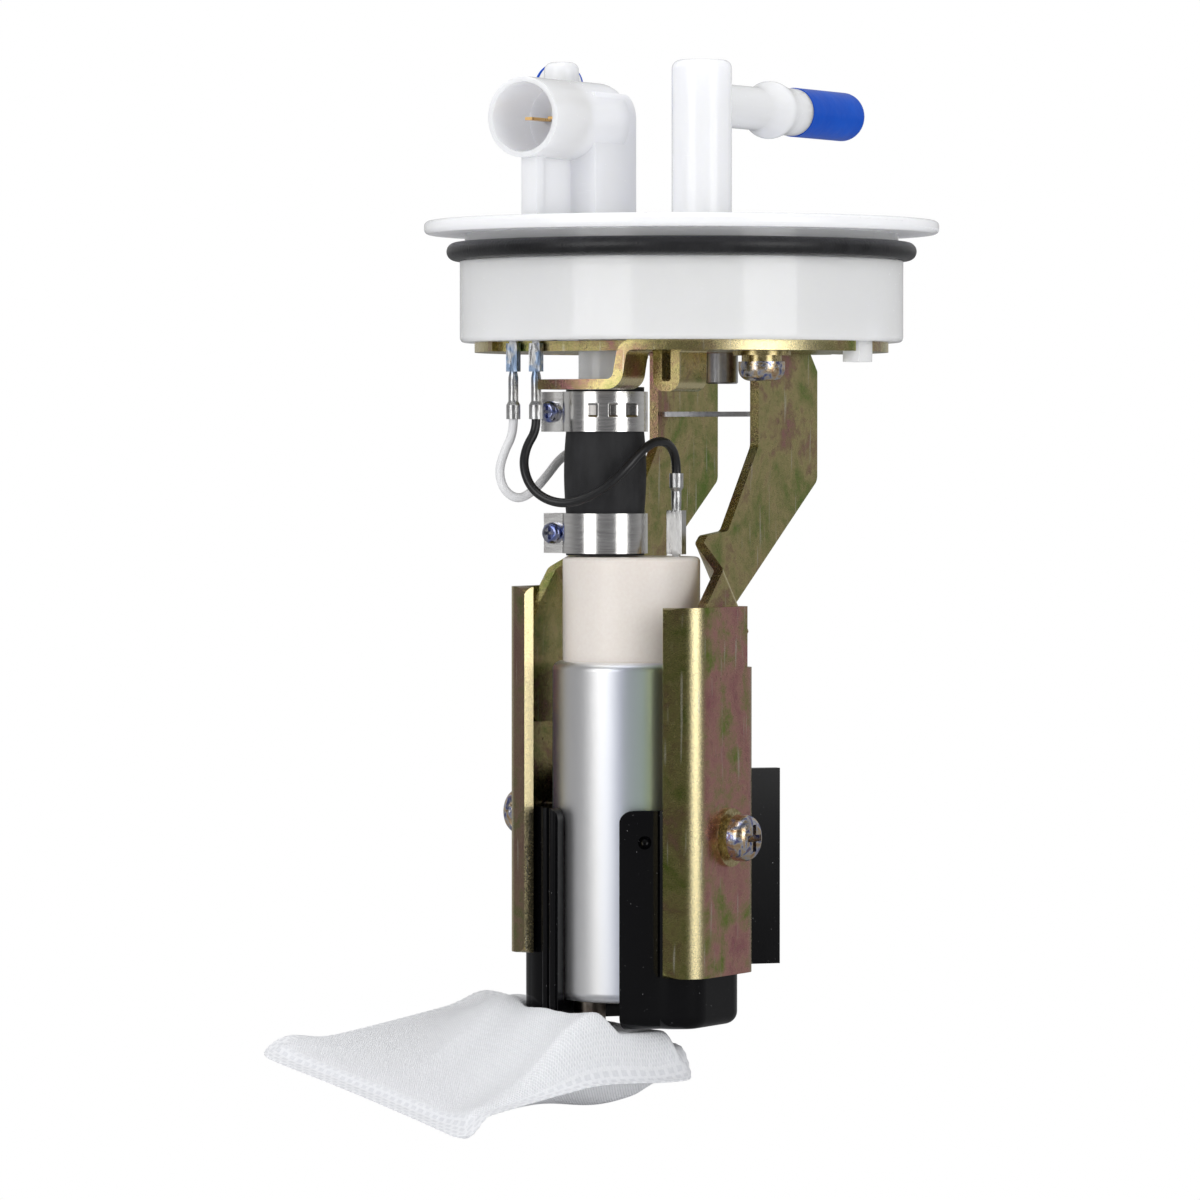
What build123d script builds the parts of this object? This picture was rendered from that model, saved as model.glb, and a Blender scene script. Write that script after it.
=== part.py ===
from build123d import *
from math import cos, radians, sin, tan
import os

# Fuel pump module. Millimetres, +Z up, origin at the centre of the underside of the
# cover disc, which is the face that seats on the tank. The front faces -Y.

# Clearances and cuts
FIT = 0.05
HOLE_GAP = 0.3
DRILL_REACH = 20.0

# Cover: white moulding with disc, skirt, towers, connector and bosses
DISC_RADIUS = 62.7
DISC_THICK = 3.2
DISC_EDGE_ROUND = 1.2
SKIRT_RADIUS = 54.0
SKIRT_WALL = 3.0
SKIRT_DEPTH = 26.3
SKIRT_EDGE_ROUND = 1.2
SEAL_SECTION = 4.4
SEAL_DEPTH = 4.2
SEAL_GROOVE = 1.2
SEAL_LEDGE = 6.6
BOSS_RADIUS = 5.0
BOSS_HOLE_DEPTH = 14.0
BOSS_SPOTS = [(28.0, -10.0), (-28.0, 18.0), (0.0, 20.0)]
LUG_WIDTH = 6.5
LUG_THICK = 4.5
LUG_DROP = 5.0
LUG_GAP = 0.4
GALLERY_Z = -5.5
DUCT_WALL = 2.0

# Electrical connector on the cover
SOCKET_X = -20.3
SOCKET_Z = 27.4
SOCKET_RADIUS = 9.7
SOCKET_WALL = 1.3
SOCKET_FRONT_Y = -41.0
SOCKET_DEPTH = 17.0
POST_WIDTH = 16.0
POST_FRONT_Y = -20.4
POST_BACK_Y = -0.8
POST_TOP = 34.2
POST_ROUND = 6.0
LEG_WIDTH = 4.3
LEG_DEPTH = 4.0
WEB_THICK = 2.2
PIN_SPACING = 6.4
PIN_THICK = 0.7
PIN_WIDTH = 1.9
PIN_REACH = 9.0
PIN_DROP_Y = -12.0
TERMINAL_Y = -40.0
TERMINAL_BOTTOM = -32.0
TERMINAL_BLOCK = (14.5, 6.0)

# Outlet tower and nozzle, return tower and nozzle
TOWER_RADIUS = 7.3
TOWER_TOP = 42.0
TOWER_ROUND = 2.0
OUTLET_SPOT = (8.0, -4.0)
OUTLET_AXIS_Z = 31.5
NECK_RADIUS = 5.3
BULGE_RADIUS = 7.1
TIP_RADIUS = 5.9
SPIKE_RADIUS = 4.7
BORE_RADIUS = 2.0
OUTLET_NECK = 26.0
OUTLET_BULGE = 15.0
OUTLET_TIP = 4.6
SPIKE_LENGTH = 14.0
BARB_CREST = 0.45
RETURN_SPOT = (-37.6, 5.8)
RETURN_TOWER_RADIUS = 4.3
RETURN_NECK_RADIUS = 4.2
RETURN_BULGE_RADIUS = 5.4
RETURN_TIP_RADIUS = 5.2
RETURN_TOP = 43.4
RETURN_AXIS_Z = 38.6
RETURN_ANGLE = 123.0
RETURN_NECK = 9.0
RETURN_BULGE = 8.0
RETURN_TIP = 2.0
CAP_RADIUS = 6.1
CAP_WALL = 1.2
CAP_LENGTH = 28.5
CAP_ROUND = 3.2
CAP_CLEARANCE = 0.1

# Hose nipple under the cover
NIPPLE_SPOT = (-5.0, -28.0)
NIPPLE_COLUMN_RADIUS = 6.4
NIPPLE_COLUMN_BOTTOM = -37.0
NIPPLE_RADIUS = 4.6
NIPPLE_LENGTH = 10.0

# Hanger bracket: one steel pressing
STEEL = 2.4
PLATE_RADIUS = 50.4
ARM_INNER_X = 13.0
ARM_FRONT_Y = 11.0
ARM_BACK_Y = 40.8
ARM_FRONT_BEND_Z = -51.5
ARM_BACK_BEND_Z = -60.0
ARM_KNEE = (-4.0, -72.0)
ARM_EAR = [(-14.0, -73.0), (-19.0, -77.5), (-30.0, -89.0)]
ARM_TAB_FRONT_Y = -33.0
ARM_TAB_BACK_Y = -14.6
ARM_HEEL = (-6.2, -93.9)
ARM_HEEL_DROP = 5.0
ARM_TAB_BOTTOM = -118.0
JOGGLE_TOP = -70.0
JOGGLE_BOTTOM = -84.0
JOGGLE_REFERENCE_Y = -20.0
JOGGLE_SLOPE = -1.2
LANCE_GAP = 3.0
TONGUE_DROP = 9.3
TONGUE_LEFT = -11.0
TONGUE_RIGHT = 12.2
TONGUE_SLANT = 1.6
TONGUE_BACK_Y = -38.4
TONGUE_BEND = 2.8
LOOP_LEFT = 15.4
LOOP_RIGHT = 20.2
LOOP_DROP = 9.8
LOOP_FRONT_Y = -38.0
LOOP_BACK_Y = -25.0
LOOP_BEND = 1.9
WINDOW_X = (-9.0, 9.0)
WINDOW_Y = (-12.0, 10.0)
PLATE_MARGIN = 1.0
ARM_ROUND = 2.4
JOGGLE_BEND = 3.5
ARM_REACH = 90.0
TIE_HOLE_RADIUS = 3.0
TIE_Z = -43.6
TIE_WIDTH = 12.0

# Rails
RAIL_BOTTOM = -175.5
RAIL_TOP = -87.5
RAIL_HALF_WIDTH = 12.5
RAIL_FLANGE = 8.4
RAIL_FLANGE_ANGLE = 58.0
RAIL_BEND = 5.6
RAIL_CORNER = 2.8
RAIL_RELIEF = 0.6
RAIL_STAGGER = 2.3

# Pump
PUMP_Y = -24.0
CAN_RADIUS = 19.0
CAN_WALL = 0.9
CAN_BOTTOM = -184.2
CAN_TOP = -103.0
CAN_CURL = 2.2
END_CAP_RADIUS = 16.55
END_CAP_TOP = -78.0
END_CAP_WALL = 2.0
END_CAP_ROOF = 4.0
END_CAP_ROUND = 1.2
END_CAP_SKIRT_BOTTOM = -124.0
SPIGOT_RADIUS = 4.5
SPIGOT_TOP = -62.0
RUNNING_GAP = 0.08
SHAFT_RADIUS = 1.6
SHAFT_TOP = -104.5
SHAFT_BOTTOM = -179.2
BEARING_RADIUS = 3.6
CORE_RADIUS = 12.8
CORE_BOTTOM = -160.0
CORE_TOP = -131.0
CORE_SLOTS = 8
SLOT_INSET = 3.0
SLOT_DEPTH = 6.5
SLOT_WIDTH = 2.4
COIL_END_HEIGHT = 3.0
COIL_INSET = 1.4
COIL_BORE_GAP = 1.5
COIL_BAR_INSET = 3.6
COIL_BAR_DEPTH = 5.0
COIL_BAR_WIDTH = 2.2
COMMUTATOR_RADIUS = 4.5
COMMUTATOR_BOTTOM = -121.0
COMMUTATOR_TOP = -113.0
BAR_CUT_DEPTH = 1.2
BAR_CUT_WIDTH = 0.4
MAGNET_INNER = 13.4
MAGNET_BOTTOM = -163.0
MAGNET_TOP = -127.0
MAGNET_SPAN = 150.0
MAGNET_END_GAP = 0.5
CLIP_INSET = 1.2
CLIP_THICK = 1.0
CLIP_SHORTER = 4.0
BRUSH_SIZE = 4.0
BRUSH_GUIDE_WALL = 1.2
BRUSH_LENGTH = 4.6
BRUSH_Z = -117.0
CASING_TOP = -166.0
SHAFT_HOLE_GAP = 0.4
PORT_RADIUS = 1.8
PORT_X = 11.5
INLET_PLUG = 0.3
BEARING_LENGTH = 5.0
BEARING_INSET = 0.2
CASING_SPLIT = -176.0
IMPELLER_RADIUS = 15.0
IMPELLER_THICK = 3.0
IMPELLER_GAP = 0.4
IMPELLER_VANES = 24
IMPELLER_RIM_GAP = 0.5
VANE_INSET = 1.2
VANE_DEPTH = 2.6
VANE_GAP = 2.2
INLET_SPOT = (-9.0, -29.0)
INLET_RADIUS = 4.1
INLET_BORE = 2.6
INLET_BOTTOM = -193.5
BALL_RADIUS = 2.2
BALL_LIFT = 0.02
SEAT_RADIUS = 1.6
SEAT_DRILLING = 12.0
VALVE_BORE = 2.6
VALVE_LENGTH = 11.0
VALVE_LIP = 1.3
SPRING_WIRE = 0.5
RELIEF_SPOT = (-8.5, -19.0)
PUMP_TERMINALS = [(9.0, -18.0), (-5.0, -13.5)]

# Hose and clamps
HOSE_RADIUS = 9.4
HOSE_BORE = 4.8
HOSE_TOP = -37.3
HOSE_BOTTOM = -77.7
CLAMP_HEIGHT = 9.6
CLAMP_THICK = 0.8
CLAMP_TOPS = [-38.4, -67.6]
EAR_REACHES = [6.0, 5.3]
EAR_GAP = 4.0
EAR_ROOT = 1.5
HOSE_BULGE = 0.5
CLAMP_SCREW_RADIUS = 1.6
CLAMP_HEAD_RADIUS = 2.6
CLAMP_HEAD_HEIGHT = 2.2

# Screws
SCREW_HEAD = 5.6
SCREW_HEAD_HEIGHT = 4.6
SCREW_SHANK = 2.4
SCREW_GRIP = 10.0
NUT_RADIUS = 3.95
NUT_HEIGHT = 7.4
RAIL_SCREW_Z = -142.5
RAIL_SCREW_GRIP = 4.6
WASHER_RADIUS = 7.0
WASHER_THICK = 1.0
LOCK_RADIUS = 4.8
LOCK_THICK = 1.5
LOCK_SLIT = 0.8
HEAD_ROUND = 0.6
DRIVE_DEPTH = 0.55
DRIVE_WIDTH = 0.28
DRIVE_SPAN = 1.15

# Cradle
CRADLE_FLANK = 2.65
CRADLE_BOTTOM = -190.2
CRADLE_TOP = -138.0
CRADLE_CLEARANCE = 0.25
CRADLE_WALL = 2.6
CRADLE_SLOT = 17.0
CRADLE_ROUND = 3.0
CRADLE_SIDE_INSET = 2.0
CRADLE_SHOULDER = 7.5
CRADLE_CORNER = 7.0
PANEL_CORNER = 3.0
PIP_RADIUS = 1.6
PIP_SPOT = (13.7, -145.6)
BEAD_RADIUS = 1.0
BEAD_ANGLES = [28.0, 38.0]
WING_TOP = -129.5
WING_BOTTOM = -177.0
WING_OUTLINE = [(12.0, -10.0), (25.0, 4.6), (23.0, 6.2), (8.0, -8.5)]

# Strainer: soft sock sewn flat at its border, hung on the inlet
SOCK_CENTRE = (-30.4, -45.8, -200.5)
SOCK_LENGTH = 70.0
SOCK_WIDTH = 82.0
SOCK_TURN = -20.0
SOCK_TILT = 13.0
SOCK_TILT_AXIS = (0.866, 0.5, 0.0)
SOCK_BORDER_THICK = 1.2
SOCK_CORNER = 3.0
PILLOW_CORNER = 6.0
PILLOW_STEPS = [(0.0, 0.0), (14.0, 0.55), (34.0, 1.0)]
SOCK_THICK = 13.0
SOCK_BORDER = 4.0
COLLAR_RADIUS = 6.6
COLLAR_TOP = -190.8
COLLAR_BOTTOM = -199.5
COLLAR_LAP = 0.3

# Leads
LEAD_DIAMETER = 2.2
WHITE_ROUTE = [
    (-23.5, -40.0, -45.0), (-23.5, -40.0, -48.4), (-25.2, -41.5, -52.9), (-26.1, -42.6, -57.7),
    (-24.9, -41.9, -62.3), (-22.6, -39.0, -64.4), (-20.9, -34.6, -62.1), (-20.5, -29.2, -58.5),
    (-20.5, -23.6, -54.6), (-19.0, -18.6, -51.9), (-15.6, -14.8, -50.7), (-11.4, -12.9, -51.2),
    (-7.7, -12.9, -53.0), (-5.0, -13.5, -55.6), (-5.0, -13.5, -58.0),
]
BLACK_ROUTE = [
    (-17.1, -40.0, -45.0), (-17.1, -40.0, -47.8), (-18.2, -42.7, -51.6), (-17.8, -44.9, -56.2),
    (-15.3, -45.8, -61.2), (-11.0, -45.6, -64.3), (-5.9, -44.4, -65.3), (-0.9, -42.1, -63.6),
    (3.3, -39.7, -60.5), (6.3, -36.8, -56.5), (8.1, -33.1, -52.6), (9.2, -28.4, -50.2),
    (9.9, -23.3, -50.6), (9.0, -18.0, -54.2), (9.0, -18.0, -58.0),
]
CRIMP_RADIUS = 1.7
BARREL_RADIUS = 1.2
CRIMP_GRIP = 3.8
CRIMP_LAP = 0.1
BARREL_START = 1.6
GRIP_START = (0.5, 0.4)
BLADE_LAP = 0.5
ARC_SHARE = 0.45
UPPER_RECEPTACLE = (3.0, 1.8, 6.8)
LOWER_RECEPTACLE = (4.2, 2.2, 10.6)
BLADE_HEIGHT = 8.0

# Sizes that follow from the ones above
PLATE_TOP = -SKIRT_DEPTH
PLATE_BOTTOM = PLATE_TOP - STEEL
PLATE_SCREW_SPOTS = BOSS_SPOTS[:2]
NUT_SPOT = BOSS_SPOTS[2]
RAIL_WEB_X = CAN_RADIUS + CRADLE_CLEARANCE + CRADLE_WALL + CRADLE_FLANK + STEEL / 2
BEARING_TOP = SHAFT_TOP + 0.5
CHECK_SEAT = END_CAP_TOP + 1.0
RELIEF_SEAT = END_CAP_TOP - VALVE_LENGTH - 1.2
WASHER_STACK = WASHER_THICK + LOCK_THICK
OUTLET_MOUTH = OUTLET_NECK + OUTLET_BULGE + OUTLET_TIP
RETURN_MOUTH = RETURN_NECK + RETURN_BULGE + RETURN_TIP
ARM_TAB_X = RAIL_WEB_X - STEEL
PUMP_AXIS = (0.0, PUMP_Y)


def rod(radius, bottom, top, spot=(0.0, 0.0)):
    """Upright cylinder between two heights."""
    return Pos(spot[0], spot[1], bottom) * Cylinder(
        radius, top - bottom, align=(Align.CENTER, Align.CENTER, Align.MIN))


def tube(outer, inner, bottom, top, spot=(0.0, 0.0)):
    """Upright tube between two heights."""
    return rod(outer, bottom, top, spot) - rod(inner, bottom - 1, top + 1, spot)


def block(x, y, z):
    """Box given by its lowest and highest value on each axis."""
    return Pos((x[0] + x[1]) / 2, (y[0] + y[1]) / 2, (z[0] + z[1]) / 2) * Box(
        x[1] - x[0], y[1] - y[0], z[1] - z[0])


def rim_edges(solid, height):
    """Circular edges of a solid that lie at one height."""
    edges = solid.edges().filter_by(GeomType.CIRCLE)
    return [edge for edge in edges if abs(edge.center().Z - height) < 0.01]


def turned(profile, spot=(0.0, 0.0)):
    """Solid of revolution from (radius, height) points, about a vertical axis."""
    face = make_face(Polyline([(r, 0, z) for r, z in profile], close=True))
    return Pos(spot[0], spot[1], 0) * revolve(face, Axis.Z, 360)


def mirrored(solid):
    """The solid and its twin on the other side of the YZ plane."""
    return solid, mirror(solid, Plane.YZ)


def staggered(solid):
    """A right-hand solid set low and its left-hand twin set high, as the rails sit."""
    right = Pos(0, 0, -RAIL_STAGGER) * solid
    left = mirror(Pos(0, 0, RAIL_STAGGER) * solid, Plane.YZ)
    return right, left


def save(name, shape):
    """Write one node, a solid or a group of separate solids."""
    os.makedirs("parts", exist_ok=True)
    if isinstance(shape, (list, tuple)):
        solids = [solid for item in shape for solid in item.solids()]
    else:
        solids = list(shape.solids())
    result = solids[0] if len(solids) == 1 else Compound(children=solids)
    export_step(result, f"parts/{name}.step")


# Cover

def nozzle(radii, neck, bulge, tip):
    """Nozzle along Z: straight neck, rounded barb, tip and the spike that a cap grips."""
    neck_radius, bulge_radius, tip_radius = radii
    mouth = neck + bulge + tip
    barb = Spline((neck_radius, 0, neck), (bulge_radius, 0, neck + bulge * BARB_CREST),
                  (tip_radius, 0, neck + bulge), tangents=[(0, 0, 1), (0, 0, 1)])
    edge = Polyline([(neck_radius, 0, neck), (neck_radius, 0, 0), (0, 0, 0),
                     (0, 0, mouth + SPIKE_LENGTH), (SPIKE_RADIUS, 0, mouth + SPIKE_LENGTH),
                     (SPIKE_RADIUS, 0, mouth), (tip_radius, 0, mouth), (tip_radius, 0, neck + bulge)])
    return revolve(make_face(barb + edge), Axis.Z, 360)


def nozzle_place(spot, axis_z, angle):
    """Location whose Z runs along a nozzle that points at a compass angle from +X."""
    return Location(Plane(origin=(spot[0], spot[1], axis_z),
                          z_dir=(cos(radians(angle)), sin(radians(angle)), 0)))


OUTLET_PLACE = nozzle_place(OUTLET_SPOT, OUTLET_AXIS_Z, 90.0)
RETURN_PLACE = nozzle_place(RETURN_SPOT, RETURN_AXIS_Z, RETURN_ANGLE)


def tower(spot, radius, top, side_nozzle):
    """Upright tower with a side nozzle."""
    post = rod(radius, 0, top, spot)
    return fillet(rim_edges(post, top), TOWER_ROUND) + side_nozzle


def tower_bore(spot, bottom, place, mouth):
    """Fuel way up a tower and out of its nozzle."""
    up = rod(BORE_RADIUS, bottom, place.position.Z + BORE_RADIUS, spot)
    out = place * rod(BORE_RADIUS, 0, mouth + SPIKE_LENGTH + 1)
    return up + out


def connector():
    """Round plug socket on a post, with a web and a leg under the barrel."""
    barrel_place = Location(Plane(origin=(SOCKET_X, SOCKET_FRONT_Y, SOCKET_Z), z_dir=(0, 1, 0)))
    barrel = barrel_place * rod(SOCKET_RADIUS, 0, POST_BACK_Y - 6 - SOCKET_FRONT_Y)
    half = POST_WIDTH / 2
    post = block((SOCKET_X - half, SOCKET_X + half), (POST_FRONT_Y, POST_BACK_Y), (0, POST_TOP))
    edges = [e for e in post.edges().filter_by(Axis.X)
             if e.center().Z > POST_TOP - 1 and e.center().Y > POST_BACK_Y - 1]
    post = fillet(edges, POST_ROUND)
    leg = block((SOCKET_X - LEG_WIDTH / 2, SOCKET_X + LEG_WIDTH / 2),
                (SOCKET_FRONT_Y + 3, SOCKET_FRONT_Y + 3 + LEG_DEPTH), (0, SOCKET_Z - 4))
    web = block((SOCKET_X - WEB_THICK / 2, SOCKET_X + WEB_THICK / 2),
                (SOCKET_FRONT_Y + 4, POST_FRONT_Y + 1), (0, SOCKET_Z - 4))
    shape = barrel + post + leg + web
    return shape - barrel_place * rod(SOCKET_RADIUS - SOCKET_WALL, -1, SOCKET_DEPTH)


def contact_pins():
    """Two flat contacts, from the socket through post, disc and block to the underside."""
    half = PIN_THICK / 2
    floor_y = SOCKET_FRONT_Y + SOCKET_DEPTH
    deck = DISC_THICK / 2
    pins = []
    for side in (-1, 1):
        x = SOCKET_X + side * PIN_SPACING / 2
        span = (x - PIN_WIDTH / 2, x + PIN_WIDTH / 2)
        socket_end = block(span, (floor_y - PIN_REACH, PIN_DROP_Y + half),
                           (SOCKET_Z - half, SOCKET_Z + half))
        riser = block(span, (PIN_DROP_Y - half, PIN_DROP_Y + half), (deck - half, SOCKET_Z + half))
        run = block(span, (TERMINAL_Y - half, PIN_DROP_Y + half), (deck - half, deck + half))
        blade = block(span, (TERMINAL_Y - half, TERMINAL_Y + half), (TERMINAL_BOTTOM, deck + half))
        pins.append(socket_end + riser + run + blade)
    return pins


def cover():
    """The whole white moulding."""
    disc = rod(DISC_RADIUS, 0, DISC_THICK)
    disc = fillet(disc.edges().filter_by(GeomType.CIRCLE), DISC_EDGE_ROUND)
    skirt = rod(SKIRT_RADIUS, PLATE_TOP, 1)
    skirt = fillet(rim_edges(skirt, PLATE_TOP), SKIRT_EDGE_ROUND)
    skirt -= rod(SKIRT_RADIUS - SKIRT_WALL, PLATE_TOP - 1, 0)
    skirt -= tube(SKIRT_RADIUS + 1, SKIRT_RADIUS - SEAL_GROOVE, -SEAL_LEDGE, 0)
    shape = disc + skirt
    shape += lug(0)
    for spot in BOSS_SPOTS:
        shape += rod(BOSS_RADIUS, PLATE_TOP, 1, spot)
    shape += rod(NIPPLE_COLUMN_RADIUS, NIPPLE_COLUMN_BOTTOM, 1, NIPPLE_SPOT)
    shape += rod(NIPPLE_RADIUS, NIPPLE_COLUMN_BOTTOM - NIPPLE_LENGTH, 0, NIPPLE_SPOT)
    shape += gallery(NECK_RADIUS)
    shape += rod(BORE_RADIUS + DUCT_WALL, PLATE_TOP + 2 * DUCT_WALL, 1, RETURN_SPOT)
    width, depth = TERMINAL_BLOCK
    shape += block((SOCKET_X - width / 2, SOCKET_X + width / 2),
                   (TERMINAL_Y - depth / 2, TERMINAL_Y + depth / 2), (PLATE_TOP, 1))
    shape += connector()
    outlet = nozzle((NECK_RADIUS, BULGE_RADIUS, TIP_RADIUS), OUTLET_NECK, OUTLET_BULGE, OUTLET_TIP)
    shape += tower(OUTLET_SPOT, TOWER_RADIUS, TOWER_TOP, OUTLET_PLACE * outlet)
    back = nozzle((RETURN_NECK_RADIUS, RETURN_BULGE_RADIUS, RETURN_TIP_RADIUS),
                  RETURN_NECK, RETURN_BULGE, RETURN_TIP)
    shape += tower(RETURN_SPOT, RETURN_TOWER_RADIUS, RETURN_TOP, RETURN_PLACE * back)
    shape -= tower_bore(OUTLET_SPOT, GALLERY_Z, OUTLET_PLACE, OUTLET_MOUTH)
    shape -= tower_bore(RETURN_SPOT, PLATE_TOP, RETURN_PLACE, RETURN_MOUTH)
    shape -= gallery(BORE_RADIUS)
    shape -= rod(BORE_RADIUS, NIPPLE_COLUMN_BOTTOM - NIPPLE_LENGTH - 1, GALLERY_Z, NIPPLE_SPOT)
    for spot in BOSS_SPOTS:
        shape -= rod(SCREW_SHANK + FIT, PLATE_TOP - 1, PLATE_TOP + BOSS_HOLE_DEPTH, spot)
    for pin in contact_pins():
        shape -= pin
    return shape


def lug(gap):
    """Locating lug under the skirt's right side, or with a gap the notch that it passes."""
    half = LUG_WIDTH / 2 + gap
    return block((SKIRT_RADIUS - LUG_THICK - SKIRT_WALL - gap, SKIRT_RADIUS - SKIRT_WALL + gap / 2),
                 (-half, half), (PLATE_TOP - LUG_DROP - gap, PLATE_TOP + LUG_DROP))


def gallery(radius):
    """Level duct under the disc, from the nipple to the outlet tower."""
    start = Vector(NIPPLE_SPOT[0], NIPPLE_SPOT[1], GALLERY_Z)
    finish = Vector(OUTLET_SPOT[0], OUTLET_SPOT[1], GALLERY_Z)
    run = finish - start
    duct = Location(Plane(origin=start, z_dir=run)) * rod(radius, 0, run.length)
    return duct + Pos(finish) * Sphere(radius) + Pos(start) * Sphere(radius)


def cover_seal():
    """O-ring stretched on the skirt."""
    return Pos(0, 0, -SEAL_DEPTH) * Torus(
        SKIRT_RADIUS - SEAL_GROOVE + SEAL_SECTION / 2 + FIT, SEAL_SECTION / 2)


def nozzle_cap(place, mouth):
    """Soft vinyl cap pushed over a nozzle's spike up to its tip."""
    shell = rod(CAP_RADIUS, mouth, mouth + CAP_LENGTH)
    shell = fillet(rim_edges(shell, mouth + CAP_LENGTH), CAP_ROUND)
    shell = shell - rod(SPIKE_RADIUS + CAP_CLEARANCE, mouth - 1, mouth + CAP_LENGTH - CAP_WALL * 2)
    return place * shell


# Hanger bracket

def strip(points, bend):
    """Sheet-metal section: a bent line of constant thickness in the XZ plane."""
    line = FilletPolyline(*[(x, z) for x, z in points], radius=bend)
    return Plane.XZ * trace(line, STEEL)


def pressed_strip(points, bend, front, back):
    """Bent strip carried from its front to its back edge."""
    section = Pos(0, back, 0) * strip(points, bend)
    return extrude(section, back - front)


def bracket_plate():
    """Round plate with its notches, holes and window."""
    plate = rod(PLATE_RADIUS, PLATE_BOTTOM, PLATE_TOP)
    through = (PLATE_BOTTOM - 1, PLATE_TOP + 1)
    left = SOCKET_X - TERMINAL_BLOCK[0] / 2 - PLATE_MARGIN
    plate -= block((left, TONGUE_RIGHT + PLATE_MARGIN), (-PLATE_RADIUS, TONGUE_BACK_Y), through)
    plate -= block((LOOP_LEFT - PLATE_MARGIN, LOOP_RIGHT + PLATE_MARGIN),
                   (LOOP_FRONT_Y, LOOP_BACK_Y), through)
    plate -= block(WINDOW_X, WINDOW_Y, through)
    plate -= rod(RETURN_TOWER_RADIUS, PLATE_BOTTOM - 1, PLATE_TOP + 1, RETURN_SPOT)
    plate -= lug(LUG_GAP)
    for side in (-1, 1):
        low, high = sorted((side * ARM_INNER_X, side * (ARM_INNER_X + STEEL + LANCE_GAP)))
        plate -= block((low, high), (ARM_FRONT_Y - LANCE_GAP, ARM_FRONT_Y), through)
        low, high = sorted((side * (ARM_INNER_X + STEEL), side * (ARM_INNER_X + STEEL + LANCE_GAP)))
        plate -= block((low, high), (ARM_FRONT_Y, PLATE_RADIUS), through)
    plate -= rod(NIPPLE_COLUMN_RADIUS + HOLE_GAP, PLATE_BOTTOM - 1, PLATE_TOP + 1, NIPPLE_SPOT)
    for spot in BOSS_SPOTS:
        plate -= rod(SCREW_SHANK + HOLE_GAP, PLATE_BOTTOM - 1, PLATE_TOP + 1, spot)
    return plate


def front_tongue():
    """Tongue pressed down from the plate's rim in front of the hose nipple, free at its left."""
    level = (PLATE_TOP + PLATE_BOTTOM) / 2
    low = level - TONGUE_DROP
    tongue = pressed_strip(
        [(TONGUE_LEFT, low), (TONGUE_RIGHT - TONGUE_SLANT, low), (TONGUE_RIGHT, level),
         (TONGUE_RIGHT + 2 * TONGUE_BEND, level)], TONGUE_BEND, -PLATE_RADIUS, TONGUE_BACK_Y)
    return tongue & rod(PLATE_RADIUS, low - STEEL, PLATE_TOP)


def stiffening_loop():
    """Narrow channel pressed down from the plate beside the tongue."""
    level = (PLATE_TOP + PLATE_BOTTOM) / 2
    dip = level - LOOP_DROP
    return pressed_strip(
        [(LOOP_LEFT - 2 * LOOP_BEND, level), (LOOP_LEFT, level), (LOOP_LEFT, dip),
         (LOOP_RIGHT, dip), (LOOP_RIGHT, level), (LOOP_RIGHT + 2 * LOOP_BEND, level)],
        LOOP_BEND, LOOP_FRONT_Y, LOOP_BACK_Y)


def arm():
    """Right arm: straight down, slanting forward to the pump, joggled out into the rail."""
    shift = ARM_TAB_X - ARM_INNER_X - STEEL / 2
    x = ARM_INNER_X + STEEL / 2
    line = FilletPolyline((x, 40), (x, JOGGLE_TOP), (x + shift, JOGGLE_BOTTOM),
                          (x + shift, 2 * ARM_TAB_BOTTOM), radius=JOGGLE_BEND)
    section = Pos(0, JOGGLE_REFERENCE_Y - ARM_REACH, -JOGGLE_SLOPE * ARM_REACH) * (
        Plane.XZ * trace(line, STEEL))
    slope = Vector(0, 1, JOGGLE_SLOPE).normalized()
    sheet = extrude(section, 2 * ARM_REACH / slope.Y, dir=slope)
    heel_z = ARM_HEEL[1]
    outline = [
        (ARM_FRONT_Y, PLATE_TOP), (ARM_FRONT_Y, ARM_FRONT_BEND_Z), ARM_KNEE, *ARM_EAR,
        (ARM_TAB_FRONT_Y, heel_z), (ARM_TAB_FRONT_Y, ARM_TAB_BOTTOM),
        (ARM_TAB_BACK_Y, ARM_TAB_BOTTOM), (ARM_TAB_BACK_Y, heel_z - ARM_HEEL_DROP), ARM_HEEL,
        (ARM_BACK_Y, ARM_BACK_BEND_Z), (ARM_BACK_Y, PLATE_TOP),
    ]
    face = make_face(Polyline([(0, y, z) for y, z in outline], close=True))
    free = [corner for corner in face.vertices() if corner.Z < PLATE_BOTTOM - STEEL]
    face = face.face().fillet_2d(ARM_ROUND, free)
    return sheet & extrude(face, PLATE_RADIUS, dir=(1, 0, 0))


def hanger_bracket():
    """Plate with its tongue and channel, and both arms, one pressing."""
    right, left = mirrored(arm())
    return bracket_plate() + front_tongue() + stiffening_loop() + right + left


def arm_tie():
    """Bright tab welded across the arms."""
    inner = ARM_INNER_X
    half = STEEL / 4
    tab = block((-inner, inner), (ARM_FRONT_Y + 2, ARM_FRONT_Y + 2 + TIE_WIDTH),
                (TIE_Z - half, TIE_Z + half))
    middle = (0, ARM_FRONT_Y + 2 + TIE_WIDTH / 2)
    return tab - rod(TIE_HOLE_RADIUS, TIE_Z - STEEL, TIE_Z + STEEL, middle)


# Rails and their screws

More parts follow.
